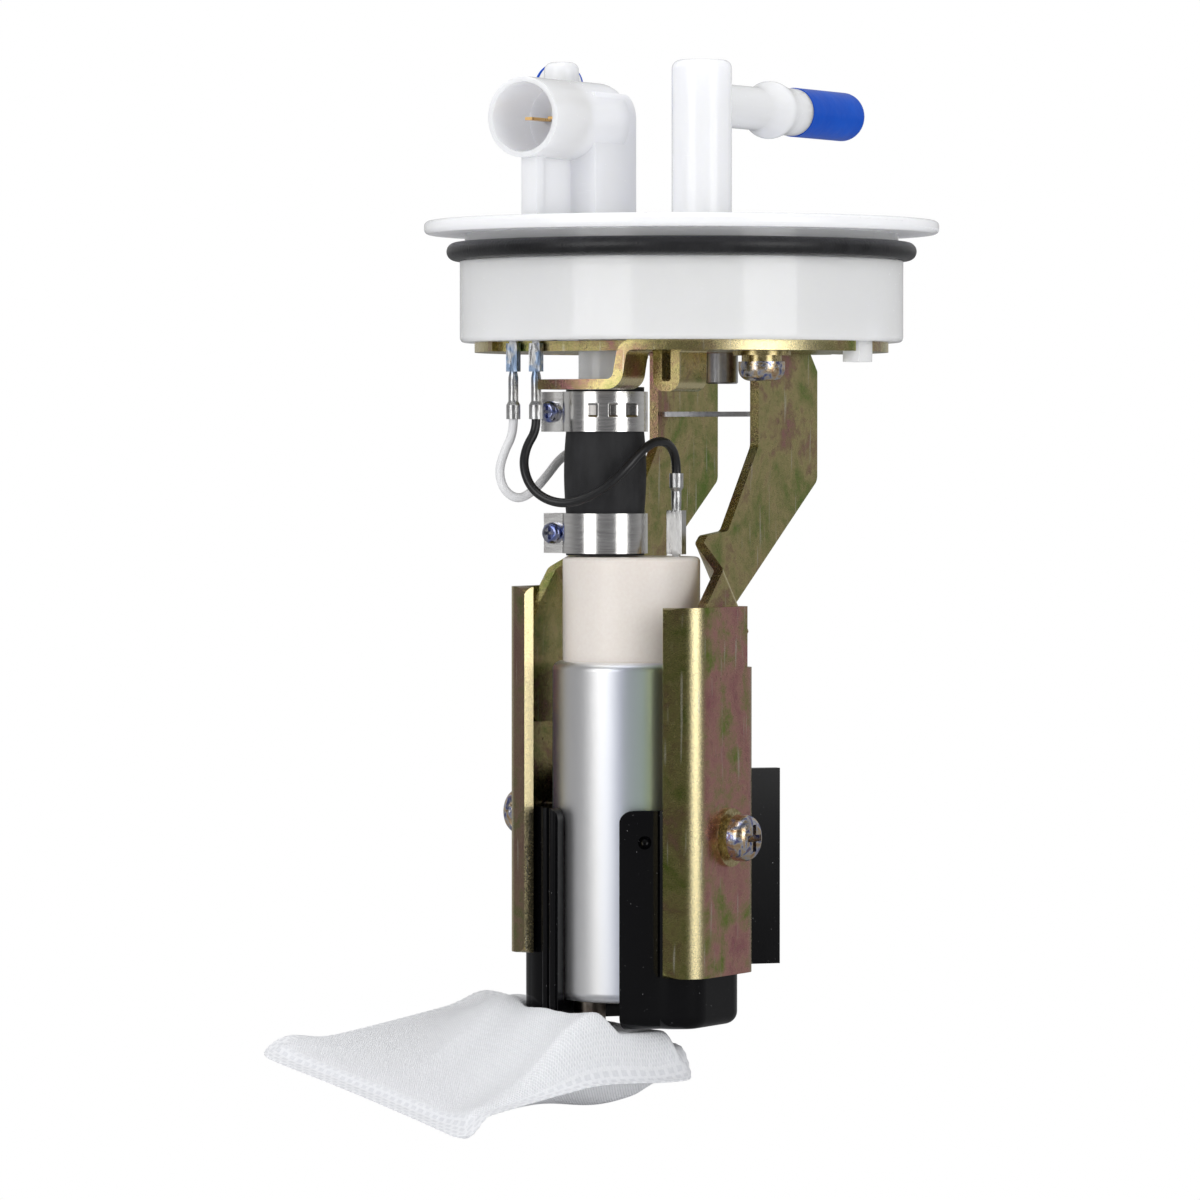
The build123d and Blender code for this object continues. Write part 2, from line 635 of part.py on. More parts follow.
def rail():
    """Right rail: channel with both flanges folded in at a slant."""
    reach_x = RAIL_FLANGE * sin(radians(RAIL_FLANGE_ANGLE))
    reach_y = RAIL_FLANGE * cos(radians(RAIL_FLANGE_ANGLE))
    front = PUMP_Y - RAIL_HALF_WIDTH
    back = PUMP_Y + RAIL_HALF_WIDTH
    line = FilletPolyline((RAIL_WEB_X - reach_x, front - reach_y), (RAIL_WEB_X, front),
                          (RAIL_WEB_X, back), (RAIL_WEB_X - reach_x, back + reach_y),
                          radius=RAIL_BEND)
    channel = extrude(Pos(0, 0, RAIL_BOTTOM) * trace(line, STEEL), RAIL_TOP - RAIL_BOTTOM)
    relief = block((0, RAIL_WEB_X + STEEL), (back - RAIL_BEND * RAIL_RELIEF, back + RAIL_FLANGE),
                   (ARM_HEEL[1] - ARM_HEEL_DROP - 1 - RAIL_STAGGER, RAIL_TOP + 1))
    side = RectangleRounded(back - front + 2 * reach_y + STEEL, RAIL_TOP - RAIL_BOTTOM, RAIL_CORNER)
    middle = Plane(origin=(0, PUMP_Y, (RAIL_TOP + RAIL_BOTTOM) / 2), x_dir=(0, 1, 0), z_dir=(1, 0, 0))
    channel &= extrude(middle * side, 2 * RAIL_WEB_X)
    return channel - relief - rail_screw_way(SCREW_SHANK + HOLE_GAP)


def rail_screw_way(radius):
    """Level cylinder on the axis of the right rail's screw."""
    place = Location(Plane(origin=(0, PUMP_Y, RAIL_SCREW_Z), z_dir=(1, 0, 0)))
    return place * rod(radius, RAIL_WEB_X - STEEL / 2 - RAIL_SCREW_GRIP, RAIL_WEB_X + DRILL_REACH)


def pan_screw(head, height, shank, length):
    """Cross-recess pan head screw: head above Z = 0, shank below."""
    body = rod(head, 0, height)
    body = fillet(rim_edges(body, height), height * HEAD_ROUND)
    body += rod(shank, -length, 1)
    span = (-head * DRIVE_SPAN / 2, head * DRIVE_SPAN / 2)
    width = (-head * DRIVE_WIDTH / 2, head * DRIVE_WIDTH / 2)
    depth = (height * (1 - DRIVE_DEPTH), height + 1)
    return body - (block(span, width, depth) + block(width, span, depth))


def washer_pair():
    """Plain washer with a split lock washer on it, both above Z = 0."""
    plain = tube(WASHER_RADIUS, SCREW_SHANK + FIT, 0, WASHER_THICK)
    lock = tube(LOCK_RADIUS, SCREW_SHANK + FIT, WASHER_THICK, WASHER_THICK + LOCK_THICK)
    slit = block((0, 2 * LOCK_RADIUS), (-LOCK_SLIT / 2, LOCK_SLIT / 2), (0, 2 * WASHER_STACK))
    return [plain, lock - slit]


def screw_at(place, grip):
    """Screw whose head sits on the washers at a place."""
    return place * (Pos(0, 0, WASHER_STACK) * pan_screw(
        SCREW_HEAD, SCREW_HEAD_HEIGHT, SCREW_SHANK, WASHER_STACK + STEEL + grip))


def rail_screw_place():
    """Location on the right rail's outer face, Z outwards."""
    return Location(Plane(origin=(RAIL_WEB_X + STEEL / 2, PUMP_Y, RAIL_SCREW_Z), z_dir=(1, 0, 0)))


def rail_screws():
    """Two screws, one each side."""
    return staggered(screw_at(rail_screw_place(), RAIL_SCREW_GRIP - HOLE_GAP))


def rail_washers():
    """Washers under both rail screws."""
    return [twin for part in washer_pair() for twin in staggered(rail_screw_place() * part)]


def plate_screw_places():
    """Locations on the plate's underside, Z downwards."""
    return [Location(Plane(origin=(x, y, PLATE_BOTTOM), z_dir=(0, 0, -1)))
            for x, y in PLATE_SCREW_SPOTS]


def plate_screws():
    """Screws up through the plate into the cover's bosses."""
    return [screw_at(place, SCREW_GRIP) for place in plate_screw_places()]


def plate_washers():
    """Washers under the plate screws."""
    return [place * part for place in plate_screw_places() for part in washer_pair()]


def sleeve_nut():
    """Round closed nut under the plate, with the stud that it draws out of the cover's boss."""
    bottom = PLATE_BOTTOM - NUT_HEIGHT
    nut = rod(NUT_RADIUS, bottom, PLATE_BOTTOM, NUT_SPOT)
    nut = chamfer(rim_edges(nut, bottom), HOLE_GAP)
    return nut + rod(SCREW_SHANK, bottom + 1, PLATE_TOP + BOSS_HOLE_DEPTH - 1, NUT_SPOT)


# Pump body

def pump_can():
    """Drawn steel tube, rolled in at both ends."""
    inner = CAN_RADIUS - CAN_WALL
    lip = END_CAP_RADIUS + FIT
    shell = rod(CAN_RADIUS, CAN_BOTTOM, CAN_TOP, PUMP_AXIS)
    shell = fillet(rim_edges(shell, CAN_BOTTOM) + rim_edges(shell, CAN_TOP), CAN_CURL)
    shell -= rod(inner, CAN_BOTTOM + CAN_WALL, CAN_TOP - CAN_WALL, PUMP_AXIS)
    shell -= rod(lip, CAN_TOP - 3, CAN_TOP + 1, PUMP_AXIS)
    return shell - rod(IMPELLER_RADIUS, CAN_BOTTOM - 1, CAN_BOTTOM + 3, PUMP_AXIS)


def valve_way(spot, seat_z, top):
    """Bore with a seat below, a chamber for ball and spring, and a lip above."""
    way = rod(SEAT_RADIUS, seat_z - SEAT_DRILLING, seat_z + 1, spot)
    way += rod(VALVE_BORE, seat_z, seat_z + VALVE_LENGTH, spot)
    return way + rod(VALVE_LIP, seat_z, top + 1, spot)


def end_cap():
    """Beige moulding: outer cap, skirt in the can, spigot, bearing boss and brush guides."""
    bore = END_CAP_RADIUS - END_CAP_WALL
    insert = CAN_RADIUS - CAN_WALL - FIT
    shape = rod(END_CAP_RADIUS, CAN_TOP - 4, END_CAP_TOP, PUMP_AXIS)
    shape = fillet(rim_edges(shape, END_CAP_TOP), END_CAP_ROUND)
    shape += rod(insert, END_CAP_SKIRT_BOTTOM, CAN_TOP - CAN_WALL - FIT, PUMP_AXIS)
    shape -= rod(bore, END_CAP_SKIRT_BOTTOM - 1, END_CAP_TOP - END_CAP_ROOF, PUMP_AXIS)
    shape += rod(SPIGOT_RADIUS, END_CAP_TOP - 1, SPIGOT_TOP, NIPPLE_SPOT)
    boss_top = END_CAP_TOP - END_CAP_ROOF + 1
    shape += rod(BEARING_RADIUS + 2, BEARING_TOP - 6, boss_top, PUMP_AXIS)
    shape -= rod(BEARING_RADIUS, BEARING_TOP - 8, BEARING_TOP, PUMP_AXIS)
    shape += rod(BALL_RADIUS + 2, RELIEF_SEAT - 2, END_CAP_TOP - 1, RELIEF_SPOT)
    half = BRUSH_SIZE / 2 + FIT
    wall = half + BRUSH_GUIDE_WALL
    for side in (-1, 1):
        low, high = sorted((side * (COMMUTATOR_RADIUS + 1), side * (bore + 1)))
        shape += block((low, high), (PUMP_Y - wall, PUMP_Y + wall),
                       (BRUSH_Z - wall, BRUSH_Z + wall))
        low, high = sorted((side * COMMUTATOR_RADIUS, side * bore))
        shape -= block((low, high), (PUMP_Y - half, PUMP_Y + half), (BRUSH_Z - half, BRUSH_Z + half))
    shape -= valve_way(NIPPLE_SPOT, CHECK_SEAT, SPIGOT_TOP)
    shape -= valve_way(RELIEF_SPOT, RELIEF_SEAT, END_CAP_TOP)
    for spot in PUMP_TERMINALS:
        shape -= terminal_blade(spot)
    return shape


def terminal_blade(spot):
    """Flat tab standing on the end cap."""
    return block((spot[0] - PIN_WIDTH / 2, spot[0] + PIN_WIDTH / 2),
                 (spot[1] - PIN_THICK / 2, spot[1] + PIN_THICK / 2),
                 (END_CAP_TOP - END_CAP_ROOF - 6, END_CAP_TOP + BLADE_HEIGHT))


def ball(spot, seat_z):
    """Valve ball resting in its seat."""
    lift = (BALL_RADIUS ** 2 - SEAT_RADIUS ** 2) ** 0.5
    return Pos(spot[0], spot[1], seat_z + lift + BALL_LIFT) * Sphere(BALL_RADIUS)


def valve_spring(spot, seat_z):
    """Sleeve that the coil spring fills, from the ball to the lip."""
    lift = (BALL_RADIUS ** 2 - SEAT_RADIUS ** 2) ** 0.5
    outer = VALVE_BORE - 0.3
    start = seat_z + lift + BALL_RADIUS * 0.75
    return tube(outer, outer - SPRING_WIRE, start, seat_z + VALVE_LENGTH, spot)


def armature_core():
    """Slotted stack on the shaft."""
    core = tube(CORE_RADIUS, SHAFT_RADIUS, CORE_BOTTOM, CORE_TOP, PUMP_AXIS)
    for spot in PolarLocations(CORE_RADIUS - SLOT_INSET, CORE_SLOTS):
        slot = Pos(0, PUMP_Y, CORE_BOTTOM - 1) * spot * Box(
            SLOT_DEPTH, SLOT_WIDTH, CORE_TOP - CORE_BOTTOM + 2,
            align=(Align.CENTER, Align.CENTER, Align.MIN))
        core -= slot
    return core


def armature_windings():
    """Copper in the slots, closed by the coil ends above and below the stack."""
    outer = CORE_RADIUS - COIL_INSET
    inner = SHAFT_RADIUS + COIL_BORE_GAP
    coil = tube(outer, inner, CORE_BOTTOM - COIL_END_HEIGHT, CORE_BOTTOM, PUMP_AXIS)
    coil += tube(outer, inner, CORE_TOP, CORE_TOP + COIL_END_HEIGHT, PUMP_AXIS)
    for spot in PolarLocations(CORE_RADIUS - COIL_BAR_INSET, CORE_SLOTS):
        coil += Pos(0, PUMP_Y, CORE_BOTTOM) * spot * Box(
            COIL_BAR_DEPTH, COIL_BAR_WIDTH, CORE_TOP - CORE_BOTTOM,
            align=(Align.CENTER, Align.CENTER, Align.MIN))
    return coil


def commutator():
    """Copper barrel cut into bars."""
    barrel = tube(COMMUTATOR_RADIUS, SHAFT_RADIUS, COMMUTATOR_BOTTOM, COMMUTATOR_TOP, PUMP_AXIS)
    for spot in PolarLocations(COMMUTATOR_RADIUS, CORE_SLOTS):
        barrel -= Pos(0, PUMP_Y, COMMUTATOR_BOTTOM - 1) * spot * Box(
            BAR_CUT_DEPTH, BAR_CUT_WIDTH, COMMUTATOR_TOP - COMMUTATOR_BOTTOM + 2,
            align=(Align.CENTER, Align.CENTER, Align.MIN))
    return barrel


def magnet_gap(margin):
    """Box through the can between the magnets' ends, front and back."""
    half = MAGNET_INNER * sin(radians((180 - MAGNET_SPAN) / 2)) + margin
    return block((-half, half), (PUMP_Y - CAN_RADIUS, PUMP_Y + CAN_RADIUS),
                 (MAGNET_BOTTOM - 1, MAGNET_TOP + 1))


def magnets():
    """Two curved magnets against the can."""
    outer = CAN_RADIUS - CAN_WALL - FIT
    ring = tube(outer, MAGNET_INNER, MAGNET_BOTTOM, MAGNET_TOP, PUMP_AXIS)
    return list((ring - magnet_gap(MAGNET_END_GAP)).solids())


def magnet_clips():
    """Spring strips that wedge the magnets apart, front and back."""
    outer = CAN_RADIUS - CAN_WALL - CLIP_INSET
    ring = tube(outer, outer - CLIP_THICK, MAGNET_BOTTOM + CLIP_SHORTER, MAGNET_TOP - CLIP_SHORTER,
                PUMP_AXIS)
    return list((ring & magnet_gap(MAGNET_END_GAP - FIT)).solids())


def carbon_brushes():
    """Two brushes on the commutator."""
    half = BRUSH_SIZE / 2
    start = COMMUTATOR_RADIUS + RUNNING_GAP
    brush = block((start, start + BRUSH_LENGTH), (PUMP_Y - half, PUMP_Y + half),
                  (BRUSH_Z - half, BRUSH_Z + half))
    return mirrored(brush)


def brush_springs():
    """Springs that push the brushes, drawn as the sleeves that their coils fill."""
    start = COMMUTATOR_RADIUS + RUNNING_GAP + BRUSH_LENGTH
    place = Location(Plane(origin=(0, PUMP_Y, BRUSH_Z), z_dir=(1, 0, 0)))
    outer = BRUSH_SIZE / 2 - 0.2
    return mirrored(place * tube(outer, outer - SPRING_WIRE, start, END_CAP_RADIUS - END_CAP_WALL))


def impeller():
    """Disc with a rim of vanes, on the shaft."""
    top = CASING_SPLIT - IMPELLER_GAP
    wheel = tube(IMPELLER_RADIUS - IMPELLER_RIM_GAP, SHAFT_RADIUS, top - IMPELLER_THICK, top, PUMP_AXIS)
    for spot in PolarLocations(IMPELLER_RADIUS - VANE_INSET, IMPELLER_VANES):
        wheel -= Pos(0, PUMP_Y, top - IMPELLER_THICK / 2) * spot * Box(
            VANE_DEPTH, VANE_GAP, IMPELLER_THICK + 1)
    return wheel


def casing_plate():
    """Pump plate above the impeller, with the bearing seat and the delivery port."""
    plate = rod(CAN_RADIUS - CAN_WALL - FIT, CASING_SPLIT, CASING_TOP, PUMP_AXIS)
    plate -= rod(BEARING_RADIUS, CASING_TOP - BEARING_LENGTH, CASING_TOP + 1, PUMP_AXIS)
    plate -= rod(SHAFT_RADIUS + SHAFT_HOLE_GAP, CASING_SPLIT - 1, CASING_TOP, PUMP_AXIS)
    return plate - rod(PORT_RADIUS, CASING_SPLIT - 1, CASING_TOP + 1, (PORT_X, PUMP_Y))


def inlet_casing():
    """Pump plate below the impeller, with the pocket and the inlet."""
    plate = rod(CAN_RADIUS - CAN_WALL - FIT, CAN_BOTTOM + CAN_WALL, CASING_SPLIT, PUMP_AXIS)
    plate += rod(IMPELLER_RADIUS - FIT, CAN_BOTTOM - INLET_PLUG, CAN_BOTTOM + 2, PUMP_AXIS)
    pocket = IMPELLER_THICK + 2 * IMPELLER_GAP
    plate -= rod(IMPELLER_RADIUS, CASING_SPLIT - pocket, CASING_SPLIT + 1, PUMP_AXIS)
    return plate - rod(INLET_RADIUS, CAN_BOTTOM - 5, CASING_SPLIT, INLET_SPOT)


def inlet_pipe():
    """Brass pipe pressed into the inlet."""
    return tube(INLET_RADIUS, INLET_BORE, INLET_BOTTOM, CASING_SPLIT - IMPELLER_THICK
                - 2 * IMPELLER_GAP, INLET_SPOT)


# Cradle

def cradle():
    """Black moulding: cup round the pump, side blocks under the rails and back wings."""
    bore = CAN_RADIUS + CRADLE_CLEARANCE
    cup = rod(bore + CRADLE_WALL, CRADLE_BOTTOM, CRADLE_TOP, PUMP_AXIS)
    body = fillet(rim_edges(cup, CRADLE_BOTTOM), CRADLE_ROUND)
    body += rail_seat()
    for angle in BEAD_ANGLES:
        spot = (-(bore + CRADLE_WALL) * sin(radians(angle)),
                PUMP_Y - (bore + CRADLE_WALL) * cos(radians(angle)))
        body += rod(BEAD_RADIUS, CRADLE_BOTTOM + CRADLE_ROUND, CRADLE_TOP, spot)
    right, left = mirrored(wing())
    body += right
    body += left
    body -= rod(bore, CAN_BOTTOM - CRADLE_CLEARANCE, 0, PUMP_AXIS)
    body -= front_slot()
    body -= rod(IMPELLER_RADIUS + HOLE_GAP, CRADLE_BOTTOM - 1, CAN_BOTTOM, PUMP_AXIS)
    pip_y = PUMP_Y - ((bore + CRADLE_WALL) ** 2 - PIP_SPOT[0] ** 2) ** 0.5
    body -= Pos(PIP_SPOT[0], pip_y, PIP_SPOT[1]) * Sphere(PIP_RADIUS)
    for screw_way in staggered(rail_screw_way(SCREW_SHANK + FIT)):
        body -= screw_way
    return body


def rail_seat():
    """Block across the cup whose flanks fill the rails, rounded in plan and underneath."""
    side = RAIL_WEB_X - STEEL / 2
    half = RAIL_HALF_WIDTH - CRADLE_SIDE_INSET
    lean = radians(RAIL_FLANGE_ANGLE)
    shoulder = side - CRADLE_SHOULDER * sin(lean)
    end = half + CRADLE_SHOULDER * cos(lean)
    ring = [(side, -half), (side, half), (shoulder, end), (-shoulder, end),
            (-side, half), (-side, -half), (-shoulder, -end), (shoulder, -end)]
    line = FilletPolyline(*[(x, PUMP_Y + y) for x, y in ring], radius=CRADLE_CORNER, close=True)
    seat = extrude(Pos(0, 0, CRADLE_BOTTOM) * make_face(line), CRADLE_TOP - CRADLE_BOTTOM)
    low = [edge for edge in seat.edges() if abs(edge.center().Z - CRADLE_BOTTOM) < 0.01]
    return fillet(low, CRADLE_ROUND)


def front_slot():
    """Gap up the front of the cup, with its top corners rounded over."""
    half = CRADLE_SLOT / 2
    depth = (PUMP_Y - 2 * CAN_RADIUS, PUMP_Y - CAN_RADIUS / 2)
    slot = block((-half, half), depth, (CRADLE_BOTTOM - 1, 0))
    for side in (-1, 1):
        x = side * (half + PANEL_CORNER)
        low, high = sorted((side * half, x))
        corner = block((low, high), depth, (CRADLE_TOP - PANEL_CORNER, CRADLE_TOP + 1))
        round_part = Location(Plane(origin=(x, 0, CRADLE_TOP - PANEL_CORNER), z_dir=(0, -1, 0)))
        slot += corner - round_part * rod(PANEL_CORNER, -depth[1], -depth[0])
    return slot


def wing():
    """Fin behind the right rail's back flange."""
    face = make_face(Polyline(WING_OUTLINE, close=True))
    return extrude(Pos(0, 0, WING_BOTTOM) * face, WING_TOP - WING_BOTTOM)


# Hose, clamps and strainer

def fuel_hose():
    """Short rubber hose from the cover's nipple to the pump's spigot, bulging between its clamps."""
    upper = CLAMP_TOPS[0] - CLAMP_HEIGHT
    lower = CLAMP_TOPS[1]
    bulge = ThreePointArc((HOSE_RADIUS, 0, upper), (HOSE_RADIUS + HOSE_BULGE, 0, (upper + lower) / 2),
                          (HOSE_RADIUS, 0, lower))
    edge = Polyline([(HOSE_RADIUS, 0, lower), (HOSE_RADIUS, 0, HOSE_BOTTOM), (HOSE_BORE, 0, HOSE_BOTTOM),
                     (HOSE_BORE, 0, HOSE_TOP), (HOSE_RADIUS, 0, HOSE_TOP), (HOSE_RADIUS, 0, upper)])
    return Pos(NIPPLE_SPOT[0], NIPPLE_SPOT[1], 0) * revolve(make_face(bulge + edge), Axis.Z, 360)


def clamp_screw_place(top, reach):
    """Location on the front ear's outer face, Z towards the front."""
    edge = NIPPLE_SPOT[0] - HOSE_RADIUS - FIT - CLAMP_THICK - reach
    return Location(Plane(origin=(edge + CLAMP_HEAD_RADIUS + HOLE_GAP,
                                  NIPPLE_SPOT[1] - EAR_GAP / 2 - CLAMP_THICK,
                                  top - CLAMP_HEIGHT / 2), z_dir=(0, -1, 0)))


def hose_clamp(top, reach):
    """Band with two ears turned out to the left."""
    inner = HOSE_RADIUS + FIT
    outer = inner + CLAMP_THICK
    bottom = top - CLAMP_HEIGHT
    x, y = NIPPLE_SPOT
    band = tube(outer, inner, bottom, top, NIPPLE_SPOT)
    half = EAR_GAP / 2
    band -= block((x - outer - 3, x), (y - half, y + half), (bottom - 1, top + 1))
    for side in (-1, 1):
        low, high = sorted((y + side * half, y + side * (half + CLAMP_THICK)))
        ear = block((x - outer - reach, x - inner + EAR_ROOT), (low, high), (bottom, top))
        band += ear - rod(inner, bottom - 1, top + 1, NIPPLE_SPOT)
    return band - clamp_screw_place(top, reach) * rod(CLAMP_SCREW_RADIUS + FIT, -DRILL_REACH, DRILL_REACH)


def clamp_screw(top, reach):
    """Screw and nut through a clamp's ears."""
    gap = EAR_GAP + 2 * CLAMP_THICK
    place = clamp_screw_place(top, reach)
    screw = pan_screw(CLAMP_HEAD_RADIUS, CLAMP_HEAD_HEIGHT, CLAMP_SCREW_RADIUS, gap + 3)
    nut = extrude(RegularPolygon(CLAMP_HEAD_RADIUS, 6), CLAMP_HEAD_HEIGHT)
    nut = nut - rod(CLAMP_SCREW_RADIUS + FIT, -1, CLAMP_HEAD_HEIGHT + 1)
    return [place * screw, place * (Pos(0, 0, -gap - CLAMP_HEAD_HEIGHT) * nut)]


def sock_place():
    """Location of the sock's middle plane, tilted down to the front."""
    axis = Axis(SOCK_CENTRE, SOCK_TILT_AXIS)
    flat = Plane(origin=SOCK_CENTRE, x_dir=(cos(radians(SOCK_TURN)), sin(radians(SOCK_TURN)), 0),
                 z_dir=(0, 0, 1))
    return Location(flat.rotated((0, 0, 0))), axis


def strainer_sock():
    """Soft pillow of filter cloth with a flat welded border."""
    mid = RectangleRounded(SOCK_WIDTH, SOCK_LENGTH, SOCK_CORNER)
    border = extrude(Pos(0, 0, -SOCK_BORDER_THICK / 2) * mid, SOCK_BORDER_THICK)
    half = SOCK_THICK / 2
    for side in (1, -1):
        faces = [Pos(0, 0, side * half * rise) * RectangleRounded(
            SOCK_WIDTH - 2 * SOCK_BORDER - cut, SOCK_LENGTH - 2 * SOCK_BORDER - cut, PILLOW_CORNER)
            for cut, rise in PILLOW_STEPS]
        border += loft(faces, ruled=True)
    place, axis = sock_place()
    pillow = (place * border).rotate(axis, SOCK_TILT)
    return pillow - rod(COLLAR_RADIUS + FIT, COLLAR_BOTTOM - COLLAR_LAP, COLLAR_TOP, INLET_SPOT)


def strainer_collar():
    """Moulded ring that joins the sock to the inlet pipe."""
    return tube(COLLAR_RADIUS, INLET_RADIUS + FIT, COLLAR_BOTTOM, COLLAR_TOP, INLET_SPOT)


# Leads

def lead_arcs(route):
    """Radius at each inner point: a share of the shorter run over the tangent of half the turn."""
    points = [Vector(*p) for p in route]
    arcs = []
    for before, here, after in zip(points, points[1:], points[2:]):
        turn = (here - before).get_angle(after - here)
        run = min((here - before).length, (after - here).length)
        arcs.append(ARC_SHARE * run / tan(radians(turn) / 2))
    return arcs


def lead(name, route):
    """Insulated wire as straight runs joined by tangent arcs."""
    arcs = lead_arcs(route)
    path = FilletPolyline(*route, radius=arcs)
    section = Plane(origin=path @ 0, z_dir=path % 0) * Circle(LEAD_DIAMETER / 2)
    wire = sweep(section, path)
    print(name, "length", round(path.length, 1), "volume ratio",
          round(wire.volume / (section.area * path.length), 4),
          "radii", [round(r, 1) for r in arcs])
    return wire


def crimp(spot, start, end, way, receptacle):
    """Flat receptacle, necked wire barrel and insulation grip, down (-1) or up (1) from a blade."""
    width, depth, height = receptacle
    flat = block((spot[0] - width / 2, spot[0] + width / 2),
                 (spot[1] - depth / 2, spot[1] + depth / 2), sorted((start, start + way * height)))
    flat -= block((spot[0] - PIN_WIDTH / 2 - FIT, spot[0] + PIN_WIDTH / 2 + FIT),
                  (spot[1] - PIN_THICK / 2 - FIT, spot[1] + PIN_THICK / 2 + FIT),
                  sorted((start - way, start + way * (height - 1))))
    neck = start + way * (height - CRIMP_LAP)
    grip = end - way * CRIMP_GRIP
    shank = [(0, neck), (depth / 2, neck), (BARREL_RADIUS, neck + way * BARREL_START),
             (BARREL_RADIUS, grip - way * GRIP_START[0]), (CRIMP_RADIUS, grip + way * GRIP_START[1]),
             (CRIMP_RADIUS, end), (0, end)]
    return flat + turned(shank, spot)


def upper_crimps():
    """Receptacles on the cover's blades."""
    spots = [(SOCKET_X + side * PIN_SPACING / 2, TERMINAL_Y) for side in (-1, 1)]
    return [crimp(spot, PLATE_TOP - BLADE_LAP, WHITE_ROUTE[0][2], -1, UPPER_RECEPTACLE) for spot in spots]


def lower_crimps():
    """Receptacles on the pump's terminals."""
    return [crimp(spot, END_CAP_TOP + BLADE_LAP, BLACK_ROUTE[-1][2], 1, LOWER_RECEPTACLE)
            for spot in PUMP_TERMINALS]


def main():
    save("flange_cover", cover())
    save("cover_seal", cover_seal())
    save("contact_pins", contact_pins())
    save("outlet_cap", nozzle_cap(OUTLET_PLACE, OUTLET_MOUTH))
    save("return_cap", nozzle_cap(RETURN_PLACE, RETURN_MOUTH))
    save("hanger_bracket", hanger_bracket())
    save("arm_tie", arm_tie())
    right, left = staggered(rail())
    save("right_rail", right)
    save("left_rail", left)
    save("rail_screws", rail_screws())
    save("rail_washers", rail_washers())
    save("plate_screws", plate_screws())
    save("plate_washers", plate_washers())
    save("sleeve_nut", sleeve_nut())
    save("pump_can", pump_can())
    save("pump_end_cap", end_cap())
    save("pump_terminals", [terminal_blade(spot) for spot in PUMP_TERMINALS])
    save("check_ball", ball(NIPPLE_SPOT, CHECK_SEAT))
    save("check_spring", valve_spring(NIPPLE_SPOT, CHECK_SEAT))
    save("relief_ball", ball(RELIEF_SPOT, RELIEF_SEAT))
    save("relief_spring", valve_spring(RELIEF_SPOT, RELIEF_SEAT))
    save("rotor_shaft", rod(SHAFT_RADIUS, SHAFT_BOTTOM, SHAFT_TOP, PUMP_AXIS))
    save("armature_core", armature_core())
    save("armature_windings", armature_windings())
    save("commutator", commutator())
    save("impeller", impeller())
    bearing = SHAFT_RADIUS + RUNNING_GAP / 2
    save("upper_bearing", tube(BEARING_RADIUS, bearing, BEARING_TOP - BEARING_LENGTH,
                               BEARING_TOP - BEARING_INSET, PUMP_AXIS))
    save("lower_bearing", tube(BEARING_RADIUS, bearing, CASING_TOP - BEARING_LENGTH, CASING_TOP,
                               PUMP_AXIS))
    save("magnets", magnets())
    save("magnet_clips", magnet_clips())
    save("carbon_brushes", carbon_brushes())
    save("brush_springs", brush_springs())
    save("casing_plate", casing_plate())
    save("inlet_casing", inlet_casing())
    save("inlet_pipe", inlet_pipe())
    save("pump_cradle", cradle())
    save("fuel_hose", fuel_hose())
    upper, lower = zip(CLAMP_TOPS, EAR_REACHES)
    save("upper_clamp", hose_clamp(*upper))
    save("lower_clamp", hose_clamp(*lower))
    save("clamp_screws", clamp_screw(*upper) + clamp_screw(*lower))
    save("strainer_sock", strainer_sock())
    save("strainer_collar", strainer_collar())
    save("white_lead", lead("white_lead", WHITE_ROUTE))
    save("black_lead", lead("black_lead", BLACK_ROUTE))
    save("upper_crimps", upper_crimps())
    save("lower_crimps", lower_crimps())


main()
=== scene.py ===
import math

import bpy
import numpy as np
from mathutils import Matrix, Vector


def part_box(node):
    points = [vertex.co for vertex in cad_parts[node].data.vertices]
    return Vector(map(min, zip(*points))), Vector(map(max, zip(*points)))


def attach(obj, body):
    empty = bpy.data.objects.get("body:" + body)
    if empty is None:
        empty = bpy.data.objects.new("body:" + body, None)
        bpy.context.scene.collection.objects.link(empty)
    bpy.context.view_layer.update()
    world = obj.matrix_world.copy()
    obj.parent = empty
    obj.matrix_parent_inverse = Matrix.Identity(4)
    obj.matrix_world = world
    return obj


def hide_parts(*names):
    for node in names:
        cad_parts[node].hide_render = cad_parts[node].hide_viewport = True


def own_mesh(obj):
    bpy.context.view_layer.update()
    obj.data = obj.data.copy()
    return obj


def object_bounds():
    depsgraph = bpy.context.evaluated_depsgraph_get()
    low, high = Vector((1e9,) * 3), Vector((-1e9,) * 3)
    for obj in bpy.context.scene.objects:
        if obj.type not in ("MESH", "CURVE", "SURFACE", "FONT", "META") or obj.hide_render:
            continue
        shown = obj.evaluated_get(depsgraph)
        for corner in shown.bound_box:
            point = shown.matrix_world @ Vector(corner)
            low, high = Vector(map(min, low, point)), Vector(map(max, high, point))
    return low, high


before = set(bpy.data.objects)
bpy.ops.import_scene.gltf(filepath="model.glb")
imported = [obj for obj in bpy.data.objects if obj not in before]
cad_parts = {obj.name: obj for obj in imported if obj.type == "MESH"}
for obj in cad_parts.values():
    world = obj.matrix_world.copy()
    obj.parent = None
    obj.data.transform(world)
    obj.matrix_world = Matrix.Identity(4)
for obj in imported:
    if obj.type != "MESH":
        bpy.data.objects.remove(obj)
cad_low, cad_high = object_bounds()
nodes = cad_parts


# --- Studio ---------------------------------------------------------------
# A product-shot room: a tall soft box on each side of the camera and one overhead. The
# room behind the camera is dim, so that metal and gloss have something dark to mirror,
# and the backdrop is brighter. The table and the backdrop are pure white to look at.

